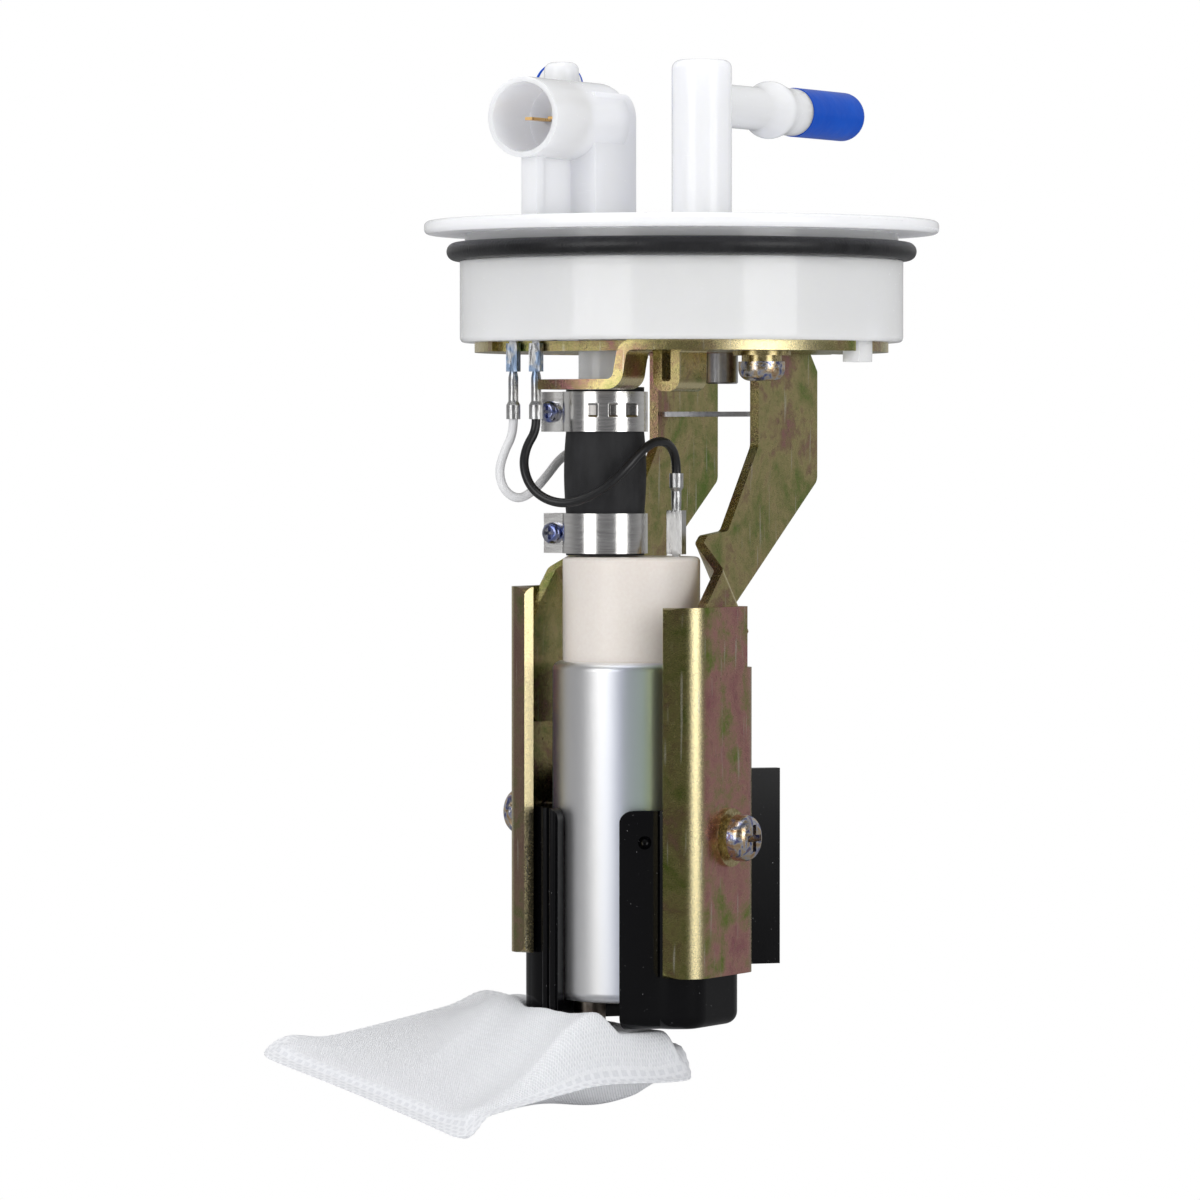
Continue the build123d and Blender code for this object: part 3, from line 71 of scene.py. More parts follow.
CAMERA_SPOT = Vector((0.750, -1.299, -0.0517))
CAMERA_TARGET = Vector((-0.0172, -0.0099, -0.0890))
CAMERA_LENS = 184.5
FLOOR_GAP = 0.002
FLOOR_RADIUS = 6.0
FLOOR_SIDES = 64
LAMP_AIM = Vector((0, 0, -0.1))
SOFT_LAMPS = [
    ("left_lamp", (-0.26, -1.37, 0.05), (0.80, 1.5), 8.4),
    ("right_lamp", (1.36, -0.34, 0.05), (0.74, 1.5), 8.4),
    ("top_lamp", (-0.1, -0.2, 1.25), (1.0, 1.0), 6.5),
]
DIFFUSE_SKY = (0.62, 0.625, 0.64)
MIRRORED_ROOM = (0.10, 0.10, 0.105)
MIRRORED_BACKDROP = (0.42, 0.42, 0.42)
SEEN_SKY = (1.0, 1.0, 1.0)
TABLE_MIRRORED = (0.3, 0.3, 0.3)
TABLE_GLOW = 1.0

scene = bpy.context.scene
scene.view_settings.view_transform = "Standard"
camera_data = bpy.data.cameras.new("camera")
camera_data.lens = CAMERA_LENS
camera_data.sensor_width = 36.0
camera = bpy.data.objects.new("camera", camera_data)
camera.location = CAMERA_SPOT
camera.rotation_euler = (CAMERA_TARGET - CAMERA_SPOT).to_track_quat("-Z", "Y").to_euler()
scene.collection.objects.link(camera)
scene.camera = camera

for name, spot, size, power in SOFT_LAMPS:
    lamp_data = bpy.data.lights.new(name, "AREA")
    lamp_data.shape = "RECTANGLE"
    lamp_data.size, lamp_data.size_y = size
    lamp_data.energy = power
    lamp = bpy.data.objects.new(name, lamp_data)
    lamp.location = spot
    lamp.rotation_euler = (LAMP_AIM - Vector(spot)).to_track_quat("-Z", "Y").to_euler()
    scene.collection.objects.link(lamp)


class Signal:
    """One output of a node. Arithmetic on signals adds the Math nodes that work it out."""

    def __init__(self, finish, socket):
        self.finish = finish
        self.socket = socket

    def math(self, operation, *values):
        """Result of one Math node on the values."""
        return self.finish.node("ShaderNodeMath", {"operation": operation}, enumerate(values))

    def __add__(self, other):
        return self.math("ADD", self, other)

    def __sub__(self, other):
        return self.math("SUBTRACT", self, other)

    def __rsub__(self, other):
        return self.math("SUBTRACT", other, self)

    def __mul__(self, other):
        return self.math("MULTIPLY", self, other)

    def __truediv__(self, other):
        return self.math("DIVIDE", self, other)

    def above(self, edge, softness):
        """0 below the edge, 1 above it, with a soft step between."""
        return self.finish.node(
            "ShaderNodeMapRange",
            {"interpolation_type": "SMOOTHSTEP"},
            {"Value": self, "From Min": edge - softness, "From Max": edge + softness},
        )

    __radd__ = __add__
    __rmul__ = __mul__


class Room:
    """A node tree that signals can be added to."""

    def __init__(self, tree):
        self.tree = tree

    def node(self, kind, settings=(), sockets=(), output=0):
        """Adds a node: its settings first, then the value or link of each socket."""
        made = self.tree.nodes.new(kind)
        for key, value in dict(settings).items():
            if key == "stops":
                ramp = made.color_ramp
                while len(ramp.elements) < len(value):
                    ramp.elements.new(0.5)
                for element, (position, colour) in zip(ramp.elements, value):
                    element.position = position
                    element.color = (*colour, 1.0)
            else:
                setattr(made, key, value)
        for key, value in dict(sockets).items():
            self.join(made.inputs[key], value)
        return Signal(self, made.outputs[output])

    def join(self, socket, value):
        """Links a signal to the socket, or sets a constant on it."""
        if isinstance(value, Signal):
            self.tree.links.new(value.socket, socket)
        elif socket.type == "RGBA":
            socket.default_value = (*value, 1.0)
        else:
            socket.default_value = value

    def component(self, vector, axis):
        """x, y or z of a vector, for axis 0, 1 or 2."""
        return self.node("ShaderNodeSeparateXYZ", {}, {0: vector}, output=axis)

    def ray(self, kind):
        """1 on rays of the kind, such as Is Camera Ray, and 0 on the others."""
        return self.node("ShaderNodeLightPath", output=kind)

    def ramp(self, value, stops):
        """Colour that runs through (position, colour) stops."""
        return self.node("ShaderNodeValToRGB", {"stops": stops}, {0: value})

    def blend(self, share, first, second):
        """First colour where the share is 0, second where it is 1."""
        return self.node("ShaderNodeMix", {"data_type": "RGBA"}, {0: share, 6: first, 7: second},
                         output=2)


class Finish(Room):
    """A material with its Principled shader. Constants go on the shader's own sockets."""

    def __init__(self, name, **constants):
        self.material = bpy.data.materials.new(name)
        self.material.use_nodes = True
        super().__init__(self.material.node_tree)
        self.shader = self.tree.nodes["Principled BSDF"]
        self.feed(**constants)
        self.spot = self.node("ShaderNodeTexCoord", output="Object")

    def feed(self, **sockets):
        """Sets or links the shader's sockets, each named with _ for a space."""
        for key, value in sockets.items():
            self.join(self.shader.inputs[key.replace("_", " ")], value)

    def noise(self, scale, detail=2.0, stretch=(1, 1, 1), roughness=0.5, distortion=0.0):
        """Cloudy noise from 0 to 1, a patch of about 1/scale metres, squeezed along the axes."""
        spot = self.node("ShaderNodeMapping", {}, {"Vector": self.spot, "Scale": stretch})
        return self.node("ShaderNodeTexNoise", {}, {
            "Vector": spot, "Scale": scale, "Detail": detail, "Roughness": roughness,
            "Distortion": distortion,
        })

    def bump(self, height, distance, strength=1.0):
        """Raises the surface by height times distance, in metres."""
        self.feed(Normal=self.node("ShaderNodeBump", {}, {
            "Height": height, "Distance": distance, "Strength": strength,
        }))

    def glow(self, share):
        """Shows plain white instead of the shader, in the given share."""
        white = self.tree.nodes.new("ShaderNodeEmission")
        mix = self.tree.nodes.new("ShaderNodeMixShader")
        self.join(mix.inputs[0], share)
        self.tree.links.new(self.shader.outputs[0], mix.inputs[1])
        self.tree.links.new(white.outputs[0], mix.inputs[2])
        self.tree.links.new(mix.outputs[0], self.tree.nodes["Material Output"].inputs[0])

    def dress(self, *names):
        """Puts the material on the named CAD pieces."""
        for name in names:
            for slot in nodes[name].material_slots:
                slot.material = self.material


world = bpy.data.worlds.new("studio")
scene.world = world
world.use_nodes = True
sky = Room(world.node_tree)
away = (CAMERA_TARGET - CAMERA_SPOT).normalized()
facing = sky.node("ShaderNodeVectorMath", {"operation": "DOT_PRODUCT"},
                  {0: sky.node("ShaderNodeTexCoord"), 1: away}, output=1)
mirrored = sky.blend(facing.above(0.15, 0.45), MIRRORED_ROOM, MIRRORED_BACKDROP)
lit = sky.blend(sky.ray("Is Glossy Ray"), DIFFUSE_SKY, mirrored)
seen = sky.blend(sky.ray("Is Camera Ray"), lit, SEEN_SKY)
sky.join(world.node_tree.nodes["Background"].inputs["Color"], seen)

floor_z = cad_low.z - FLOOR_GAP
angles = np.linspace(0, 2 * np.pi, FLOOR_SIDES, endpoint=False)
floor_points = np.stack([FLOOR_RADIUS * np.cos(angles), FLOOR_RADIUS * np.sin(angles),
                         np.full(FLOOR_SIDES, floor_z)], axis=1)
floor_mesh = bpy.data.meshes.new("table_top")
floor_mesh.from_pydata(floor_points.tolist(), [], [list(range(FLOOR_SIDES))])
floor = bpy.data.objects.new("table_top", floor_mesh)
scene.collection.objects.link(floor)
table_finish = Finish("pale_table", Roughness=0.9, Specular_IOR_Level=0.1)
table_tone = table_finish.ramp(table_finish.noise(3.0), [
    (0.3, (0.84, 0.84, 0.85)), (0.7, (0.88, 0.88, 0.88))])
table_finish.feed(Base_Color=table_finish.blend(
    table_finish.ray("Is Glossy Ray"), table_tone, TABLE_MIRRORED))
table_finish.glow(table_finish.ray("Is Camera Ray") * TABLE_GLOW)
floor_mesh.materials.append(table_finish.material)


# --- Leads ----------------------------------------------------------------
# Two stranded copper leads in soft vinyl, white and black, crimped to the cover's
# terminals and to the pump's. The black one crosses in front of the hose, the white one
# behind it.

LEAD_DIAMETER = 0.0022
WHITE_ROUTE = [
    (-23.5, -40.0, -45.0), (-23.5, -40.0, -48.4), (-25.2, -41.5, -52.9), (-26.1, -42.6, -57.7),
    (-24.9, -41.9, -62.3), (-22.6, -39.0, -64.4), (-20.9, -34.6, -62.1), (-20.5, -29.2, -58.5),
    (-20.5, -23.6, -54.6), (-19.0, -18.6, -51.9), (-15.6, -14.8, -50.7), (-11.4, -12.9, -51.2),
    (-7.7, -12.9, -53.0), (-5.0, -13.5, -55.6), (-5.0, -13.5, -58.0),
]
BLACK_ROUTE = [
    (-17.1, -40.0, -45.0), (-17.1, -40.0, -47.8), (-18.2, -42.7, -51.6), (-17.8, -44.9, -56.2),
    (-15.3, -45.8, -61.2), (-11.0, -45.6, -64.3), (-5.9, -44.4, -65.3), (-0.9, -42.1, -63.6),
    (3.3, -39.7, -60.5), (6.3, -36.8, -56.5), (8.1, -33.1, -52.6), (9.2, -28.4, -50.2),
    (9.9, -23.3, -50.6), (9.0, -18.0, -54.2), (9.0, -18.0, -58.0),
]


def lead(name, route, finish):
    """Round tube on one smooth spline through the route's control points."""
    curve = bpy.data.curves.new(name, "CURVE")
    curve.dimensions = "3D"
    curve.bevel_depth = LEAD_DIAMETER / 2
    curve.bevel_resolution = 6
    curve.use_fill_caps = True
    spline = curve.splines.new("NURBS")
    spline.points.add(len(route) - 1)
    for point, place in zip(spline.points, route):
        point.co = (*(0.001 * value for value in place), 1.0)
    spline.order_u = 3
    spline.use_endpoint_u = True
    spline.resolution_u = 16
    piece = bpy.data.objects.new(name + "_piece", curve)
    scene.collection.objects.link(piece)
    curve.materials.append(finish.material)
    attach(piece, "module")
    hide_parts(name)
    return piece


white_vinyl = Finish("white_vinyl", Roughness=0.38, Specular_IOR_Level=0.5)
white_vinyl.feed(Base_Color=white_vinyl.ramp(white_vinyl.noise(180.0), [
    (0.3, (0.70, 0.70, 0.71)), (0.7, (0.80, 0.80, 0.80))]))
black_vinyl = Finish("black_vinyl", Specular_IOR_Level=0.5)
black_vinyl.feed(Base_Color=(0.012, 0.012, 0.013), Roughness=0.22 + 0.2 * black_vinyl.noise(400.0))
lead("white_lead", WHITE_ROUTE, white_vinyl)
lead("black_lead", BLACK_ROUTE, black_vinyl)


# --- Cover ----------------------------------------------------------------
# One injection moulding of glossy, slightly milky acetal: disc, spigot, towers and the
# socket. Its skin shows faint flow marks and sinks over the ribs, and hairline scuffs.

acetal = Finish("white_acetal", Specular_IOR_Level=0.45, Subsurface_Weight=0.8,
                Subsurface_Radius=(0.010, 0.010, 0.011), Subsurface_Scale=1.0)
flow = acetal.noise(35.0, detail=4.0, stretch=(1, 1, 0.5))
scuff = acetal.noise(900.0, detail=2.0, stretch=(0.2, 1, 3)).above(0.72, 0.05)
acetal.feed(
    Base_Color=acetal.ramp(flow, [(0.25, (0.83, 0.835, 0.86)), (0.75, (0.86, 0.865, 0.885))]),
    Roughness=0.08 + 0.06 * flow + 0.25 * scuff,
)
acetal.bump(flow * 0.5 + acetal.noise(2500.0) * 0.01, 0.0003)
acetal.dress("flange_cover")


# --- Spigot seal ----------------------------------------------------------
# A moulded nitrile ring stretched round the spigot under the disc, a little uneven,
# with a satin skin.

nitrile = Finish("nitrile_rubber", Specular_IOR_Level=0.45)
skin = nitrile.noise(260.0, detail=5.0)
nitrile.feed(
    Base_Color=nitrile.ramp(skin, [(0.3, (0.006, 0.006, 0.007)), (0.8, (0.018, 0.018, 0.020))]),
    Roughness=0.26 + 0.16 * skin,
)
nitrile.bump(skin * 0.4 + nitrile.noise(1800.0), 0.00012)
nitrile.dress("cover_seal")


# --- Nozzle caps ----------------------------------------------------------
# Dip-moulded blue vinyl caps pushed over the nozzles to keep dirt out until fitting.

dip_vinyl = Finish("blue_vinyl", Specular_IOR_Level=0.18)
dip = dip_vinyl.noise(120.0, detail=3.0)
dip_vinyl.feed(
    Base_Color=dip_vinyl.ramp(dip, [(0.3, (0.0, 0.065, 0.46)), (0.7, (0.0, 0.085, 0.54))]),
    Roughness=0.24 + 0.12 * dip,
)
dip_vinyl.bump(dip, 0.0003)
dip_vinyl.dress("outlet_cap", "return_cap")


# --- Contacts -------------------------------------------------------------
# Stamped brass blades moulded into the socket, tinned below the cover, with crimped
# receptacles pushed on.

TIN_TOP = -0.02
INK_BOTTOM = -0.036

brass = Finish("contact_brass", Metallic=1.0)
stamp = brass.noise(700.0, detail=3.0, stretch=(1, 1, 0.2))
above_cover = brass.component(brass.spot, 2).above(TIN_TOP, 0.004)
brass.feed(
    Base_Color=brass.blend(above_cover, (0.62, 0.63, 0.65), (0.78, 0.50, 0.20)),
    Roughness=0.18 + 0.22 * stamp,
)
brass.bump(stamp, 0.00008)
brass.dress("contact_pins")

tinned = Finish("tinned_crimp", Metallic=1.0)
roll = tinned.noise(900.0, detail=4.0, stretch=(1, 1, 0.3))
inked = tinned.noise(330.0, detail=2.0).above(0.52, 0.08)
inked = inked * tinned.component(tinned.spot, 2).above(INK_BOTTOM, 0.002)
tinned.feed(
    Base_Color=tinned.blend(inked * 0.6, tinned.ramp(roll, [
        (0.3, (0.50, 0.50, 0.50)), (0.7, (0.82, 0.82, 0.81))]), (0.05, 0.22, 0.50)),
    Roughness=0.16 + 0.3 * roll,
)
tinned.bump(roll, 0.00015)
tinned.dress("upper_crimps", "lower_crimps", "pump_terminals")


# --- Bracket and rails ----------------------------------------------------
# Pressed mild steel, 2.4 mm thick, zinc plated and yellow passivated: olive gold with
# pink and green bloom and fine draw marks, a bright gold painted highlight along the bends and rounded
# edges, and painted shade on the rails' front flanges.

OLIVE_BLOOM = [
    (0.34, (0.20, 0.30, 0.05)), (0.43, (0.40, 0.38, 0.14)), (0.51, (0.56, 0.47, 0.21)),
    (0.57, (0.42, 0.30, 0.16)), (0.66, (0.48, 0.22, 0.22)),
]
ROSE_BLOOM = [
    (0.36, (0.26, 0.34, 0.06)), (0.45, (0.50, 0.36, 0.20)), (0.52, (0.64, 0.34, 0.28)),
    (0.66, (0.50, 0.20, 0.22)),
]
# Bright gold of the painted highlight along the bends and rounded edges.
PAINTED_BEND_HIGHLIGHT = (0.92, 0.80, 0.46)
# Dark olive of the painted shade on the flanges.
PAINTED_FLANGE_SHADE = (0.10, 0.11, 0.02)
# Columns: material name, member, web bloom, flange bloom, share of painted shade that darkens the flanges,
# bloom scale.
PLATINGS = [("bracket_plating", "hanger_bracket", OLIVE_BLOOM, OLIVE_BLOOM, 0.0, 48.0),
            ("right_rail_plating", "right_rail", ROSE_BLOOM, OLIVE_BLOOM, 0.75, 70.0),
            ("left_rail_plating", "left_rail", OLIVE_BLOOM, ROSE_BLOOM, 0.75, 70.0)]

for name, member, web_bloom, flange_bloom, flange_shade_share, bloom_scale in PLATINGS:
    plating = Finish(name, Metallic=1.0)
    bloom = plating.noise(bloom_scale, detail=6.0, roughness=0.72, distortion=0.3)
    speckle = plating.noise(5200.0, detail=2.0)
    stain = plating.noise(700.0, detail=5.0, roughness=0.8).above(0.60, 0.07)
    scratch = plating.noise(950.0, detail=1.0, stretch=(1, 1, 0.06)).above(0.70, 0.04)
    normal_x = plating.component(plating.node("ShaderNodeTexCoord", output="Normal"), 0)
    sideways = normal_x.math("ABSOLUTE", normal_x)
    web = sideways.above(0.94, 0.05)
    # Painted highlight: faces turning through a bend or a rounded edge get bright gold in their colour, and
    # the stains are kept off them.
    bend_highlight_mask = sideways.above(0.64, 0.08) * (1 - sideways.above(0.95, 0.05))
    # Painted shade: the faces that do not face sideways, the flanges towards the camera, are darkened
    # towards dark olive by the row's share.
    flange = plating.blend(flange_shade_share * (1 - bloom * 0.4), plating.ramp(bloom, flange_bloom), PAINTED_FLANGE_SHADE)
    plated = plating.blend(bend_highlight_mask * 0.9, plating.blend(web, flange, plating.ramp(bloom, web_bloom)),
                           PAINTED_BEND_HIGHLIGHT)
    stained_with_painted_light = plating.blend(stain * (1 - bend_highlight_mask) * 0.35, plated, (0.22, 0.20, 0.12))
    plating.feed(
        Base_Color=plating.blend(scratch * 0.5, stained_with_painted_light, (0.80, 0.76, 0.62)),
        Roughness=0.16 + 0.16 * speckle + 0.10 * stain,
    )
    plating.bump(speckle, 0.00004)
    plating.dress(member)

bare_zinc = Finish("clear_zinc", Metallic=1.0)
bright = bare_zinc.noise(600.0, detail=4.0)
bare_zinc.feed(
    Base_Color=bare_zinc.ramp(bright, [(0.3, (0.52, 0.52, 0.54)), (0.7, (0.70, 0.70, 0.72))]),
    Roughness=0.22 + 0.2 * bright,
)
bare_zinc.bump(bright, 0.00008)
bare_zinc.dress("arm_tie", "sleeve_nut")


# --- Screws ---------------------------------------------------------------
# Cross-recessed pan heads with lock washers, yellow passivated over a bright cold-headed
# blank, so they are darker and glossier than the pressings.

screw_finish = Finish("screw_zinc", Metallic=1.0)
hue = screw_finish.noise(420.0, detail=2.0, distortion=1.2)
worn_head = screw_finish.noise(1500.0, detail=4.0)
screw_finish.feed(
    Base_Color=screw_finish.ramp(hue, [
        (0.28, (0.50, 0.30, 0.16)), (0.42, (0.74, 0.58, 0.38)), (0.52, (0.66, 0.66, 0.70)),
        (0.62, (0.16, 0.20, 0.46)), (0.74, (0.42, 0.26, 0.20))]),
    Roughness=0.14 + 0.20 * worn_head,
)
screw_finish.bump(worn_head, 0.00006)
screw_finish.dress("rail_screws", "plate_screws")

washer_zinc = Finish("washer_zinc", Metallic=1.0)
turned = washer_zinc.noise(900.0, detail=3.0)
washer_zinc.feed(
    Base_Color=washer_zinc.ramp(turned, [(0.3, (0.46, 0.36, 0.16)), (0.7, (0.80, 0.68, 0.38))]),
    Roughness=0.16 + 0.2 * turned,
)
washer_zinc.dress("rail_washers", "plate_washers")


# --- Hose and clamps ------------------------------------------------------
# A short length of black fuel hose between the cover's nipple and the pump, held by two
# stainless bands with folded ears and a cross-head screw.

hose_rubber = Finish("hose_rubber", Specular_IOR_Level=0.35)
weave = hose_rubber.noise(300.0, detail=6.0, stretch=(1, 1, 0.35))
hose_rubber.feed(
    Base_Color=hose_rubber.ramp(weave, [(0.3, (0.010, 0.010, 0.011)), (0.8, (0.030, 0.030, 0.032))]),
    Roughness=0.5 + 0.25 * weave,
)
hose_rubber.bump(weave + 0.4 * hose_rubber.noise(3000.0), 0.00015)
hose_rubber.dress("fuel_hose")

BAND_WINDOWS = [(-0.0221, -0.0201), (-0.0172, -0.0154), (-0.0130, -0.0106)]
WINDOW_HEIGHT = (-0.0443, -0.0414)
WINDOW_EDGE = 0.0003
BAND_FRONT = math.radians(30)

stainless = Finish("stainless_band", Metallic=1.0)
brushed = stainless.noise(420.0, detail=3.0, stretch=(0.3, 0.3, 3.0))
band_x, band_y, band_z = [stainless.component(stainless.spot, axis) for axis in range(3)]
round_band = band_x * math.cos(BAND_FRONT) + band_y * math.sin(BAND_FRONT)


def between(signal, limits):
    """1 from the first limit to the second, with soft edges."""
    start, end = limits
    return signal.above(start, WINDOW_EDGE) * (1 - signal.above(end, WINDOW_EDGE))


window = sum(between(round_band, limits) for limits in BAND_WINDOWS) * between(band_z, WINDOW_HEIGHT)
stainless.feed(
    Base_Color=stainless.blend(window * 0.75, stainless.ramp(brushed, [
        (0.3, (0.84, 0.82, 0.80)), (0.7, (0.93, 0.92, 0.90))]), (0.12, 0.11, 0.10)),
    Roughness=0.16 + 0.10 * brushed,
)
stainless.bump(brushed * 0.06 + (1 - window), 0.0004)
stainless.dress("upper_clamp", "lower_clamp")

clamp_bolt = Finish("clamp_screw_steel", Metallic=1.0)
temper = clamp_bolt.noise(400.0)
clamp_bolt.feed(
    Base_Color=clamp_bolt.ramp(temper, [(0.35, (0.50, 0.50, 0.55)), (0.65, (0.10, 0.16, 0.50))]),
    Roughness=0.12 + 0.15 * temper,
)
clamp_bolt.dress("clamp_screws")


# --- Pump -----------------------------------------------------------------
# A zinc-plated deep-drawn can curled over a beige glass-filled end cap. The can has a
# silky grain and a faint rainbow in the plating, painted by which way the surface faces as painted
# reflection: teal and pink at the left edge, a white painted highlight left of the middle, blue and green to
# the right.

can_zinc = Finish("can_zinc", Metallic=1.0)
cloudy = can_zinc.noise(40.0, detail=3.0, stretch=(1, 1, 0.2))
grain = can_zinc.noise(5200.0, detail=2.0)
can_facing_painted_reflection = can_zinc.component(can_zinc.node("ShaderNodeTexCoord", output="Normal"), 0)
# Painted reflection: the tint follows the surface's facing direction, with a white band as a painted
# highlight.
can_zinc.feed(
    Base_Color=can_zinc.ramp(0.5 + 0.5 * can_facing_painted_reflection + 0.10 * (cloudy - 0.5), [
        (0.05, (0.58, 0.86, 0.70)), (0.12, (0.94, 0.72, 0.98)), (0.22, (0.97, 0.97, 0.98)),
        (0.55, (0.98, 0.98, 0.98)), (0.70, (0.84, 0.88, 0.99)), (0.84, (0.76, 0.94, 0.82)),
        (0.94, (0.84, 0.72, 0.60))]),
    Roughness=0.34 + 0.10 * grain,
)
can_zinc.bump(grain, 0.00002)
can_zinc.dress("pump_can")

end_cap = Finish("beige_polymer", Specular_IOR_Level=0.4, Subsurface_Weight=0.05)
glass = end_cap.noise(1200.0, detail=5.0)
end_cap.feed(
    Base_Color=end_cap.ramp(glass, [(0.3, (0.75, 0.67, 0.61)), (0.7, (0.78, 0.71, 0.65))]),
    Roughness=0.26 + 0.08 * glass,
)
end_cap.bump(glass, 0.00001)
end_cap.dress("pump_end_cap")

inlet_metal = Finish("inlet_brass", Metallic=1.0)
tarnish = inlet_metal.noise(400.0, detail=4.0)
inlet_metal.feed(
    Base_Color=inlet_metal.ramp(tarnish, [(0.3, (0.22, 0.17, 0.13)), (0.7, (0.48, 0.42, 0.36))]),
    Roughness=0.2 + 0.25 * tarnish,
)
inlet_metal.dress("inlet_pipe")


# --- Pump internals -------------------------------------------------------
# The brushed motor and the turbine stage inside the can, none of it seen until the pump
# is opened.

INSIDES = [
    ("ground_steel", ["rotor_shaft"], (0.50, 0.51, 0.53), (0.66, 0.67, 0.70), 1.0, 0.20),
    ("lamination_iron", ["armature_core"], (0.20, 0.19, 0.18), (0.34, 0.32, 0.30), 1.0, 0.42),
    ("enamelled_copper", ["armature_windings"], (0.50, 0.20, 0.08), (0.72, 0.34, 0.16), 1.0, 0.28),
    ("turned_copper", ["commutator"], (0.66, 0.36, 0.22), (0.80, 0.48, 0.32), 1.0, 0.30),
    ("oilite_bronze", ["upper_bearing", "lower_bearing"], (0.42, 0.30, 0.17), (0.58, 0.43, 0.26), 1.0, 0.45),
    ("ferrite", ["magnets"], (0.05, 0.05, 0.055), (0.10, 0.10, 0.105), 0.0, 0.55),
    ("spring_steel", ["magnet_clips", "brush_springs", "check_spring", "relief_spring"],
     (0.50, 0.50, 0.50), (0.70, 0.70, 0.70), 1.0, 0.25),
    ("ball_steel", ["check_ball", "relief_ball"], (0.62, 0.63, 0.65), (0.74, 0.75, 0.77), 1.0, 0.12),
    ("brush_carbon", ["carbon_brushes"], (0.03, 0.03, 0.032), (0.07, 0.07, 0.075), 0.0, 0.6),
    ("pump_polymer", ["impeller", "casing_plate", "inlet_casing"], (0.10, 0.09, 0.08), (0.16, 0.14, 0.12),
     0.0, 0.45),
]
for name, members, dark, light, metal, rough in INSIDES:
    inner = Finish(name, Metallic=metal)
    cloud = inner.noise(600.0, detail=4.0)
    inner.feed(Base_Color=inner.ramp(cloud, [(0.3, dark), (0.7, light)]), Roughness=rough + 0.15 * cloud)
    inner.bump(cloud, 0.00008)
    inner.dress(*members)

# Each valve spring is a plain sleeve round its coil's space, put on the module in place of the coil.
VALVE_SPRINGS = [("check_spring", "check_valve_lift"), ("relief_spring", "relief_valve_lift")]

for name, joint in VALVE_SPRINGS:
    sleeve = bpy.data.objects.new(name + "_coil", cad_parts[name].data.copy())
    scene.collection.objects.link(sleeve)
    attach(sleeve, "module")
    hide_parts(name)
    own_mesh(sleeve)


# --- Cradle ---------------------------------------------------------------
# A black glossy acetal sleeve that grips the can, with a wing behind each rail. Dust
# settles on it as fine pale specks.

black_acetal = Finish("black_acetal", Specular_IOR_Level=0.2)
haze = black_acetal.noise(60.0, detail=4.0)
dust = black_acetal.noise(2600.0, detail=1.0).above(0.80, 0.02)
black_acetal.feed(
    Base_Color=black_acetal.blend(dust, (0.002, 0.002, 0.0025), (0.30, 0.30, 0.30)),
    Roughness=0.07 + 0.08 * haze + 0.4 * dust,
)
black_acetal.dress("pump_cradle")


# --- Strainer -------------------------------------------------------------
# A fine nylon mesh sock, welded flat round its border, on a moulded collar that presses
# over the pump's inlet.

SOCK_MIDDLE = np.array([-0.0304, -0.0458, -0.2005])
SOCK_TURN = math.radians(-20.0)
SOCK_TILT = math.radians(13.0)
SOCK_TILT_AXIS = Vector((0.866, 0.5, 0.0))
SOCK_HALF = np.array([0.0418, 0.0364])
SOCK_CELLS = (90, 78)
WELD_WIDTH = 0.0040
WELD_THICK = 0.0006
WELD_STEP = 0.001
PILLOW_START = 0.0015
PILLOW_PRESSURE = 3.2
PILLOW_CAP = 0.0058
CLOTH_STIFFNESS = 15
CLOTH_BENDING = 0.3
CLOTH_FRAMES = 20
CORNER_ROUND = 0.0068
WAIST = 0.0012
TOOTH_DEPTH = 0.0009
RIDGE_HEIGHT = (0.0120, 0.0158)
RIDGE_RISE = (0.004, 0.020)
RIDGE_START = -0.036
RIDGE_FULL = 0.002
RIDGE_LINE = 0.010
RIDGE_SLANT = 0.6
RIDGE_SPREAD = (0.019, 0.013)
RIDGE_TAIL = 0.013
RIDGE_EDGE = (0.0012, 0.0088)
BELLY_DEPTH = 0.0048
BELLY_SPOT = np.array([0.026, 0.017])
BELLY_SPREAD = np.array([0.013, 0.015])
BELLY_FLAT = 0.55
FRONT_LIFT = 0.0046
BACK_LIFT = 0.0062
CURL_LIFT = 0.0026
EDGE_REACH = 0.4
PUMP_AXIS = np.array([0.0, -0.024])
CRADLE_HALF = np.array([0.0173, 0.0137])
CRADLE_RADIUS = 0.0228
CRADLE_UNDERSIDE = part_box("pump_cradle")[0].z
CLOTH_GAP = 0.0008
CRADLE_SLOPE = 1.7


def ease(value, start, end):
    """Smooth step from 0 at the start to 1 at the end."""
    step = np.clip((value - start) / (end - start), 0, 1)
    return step * step * (3 - 2 * step)


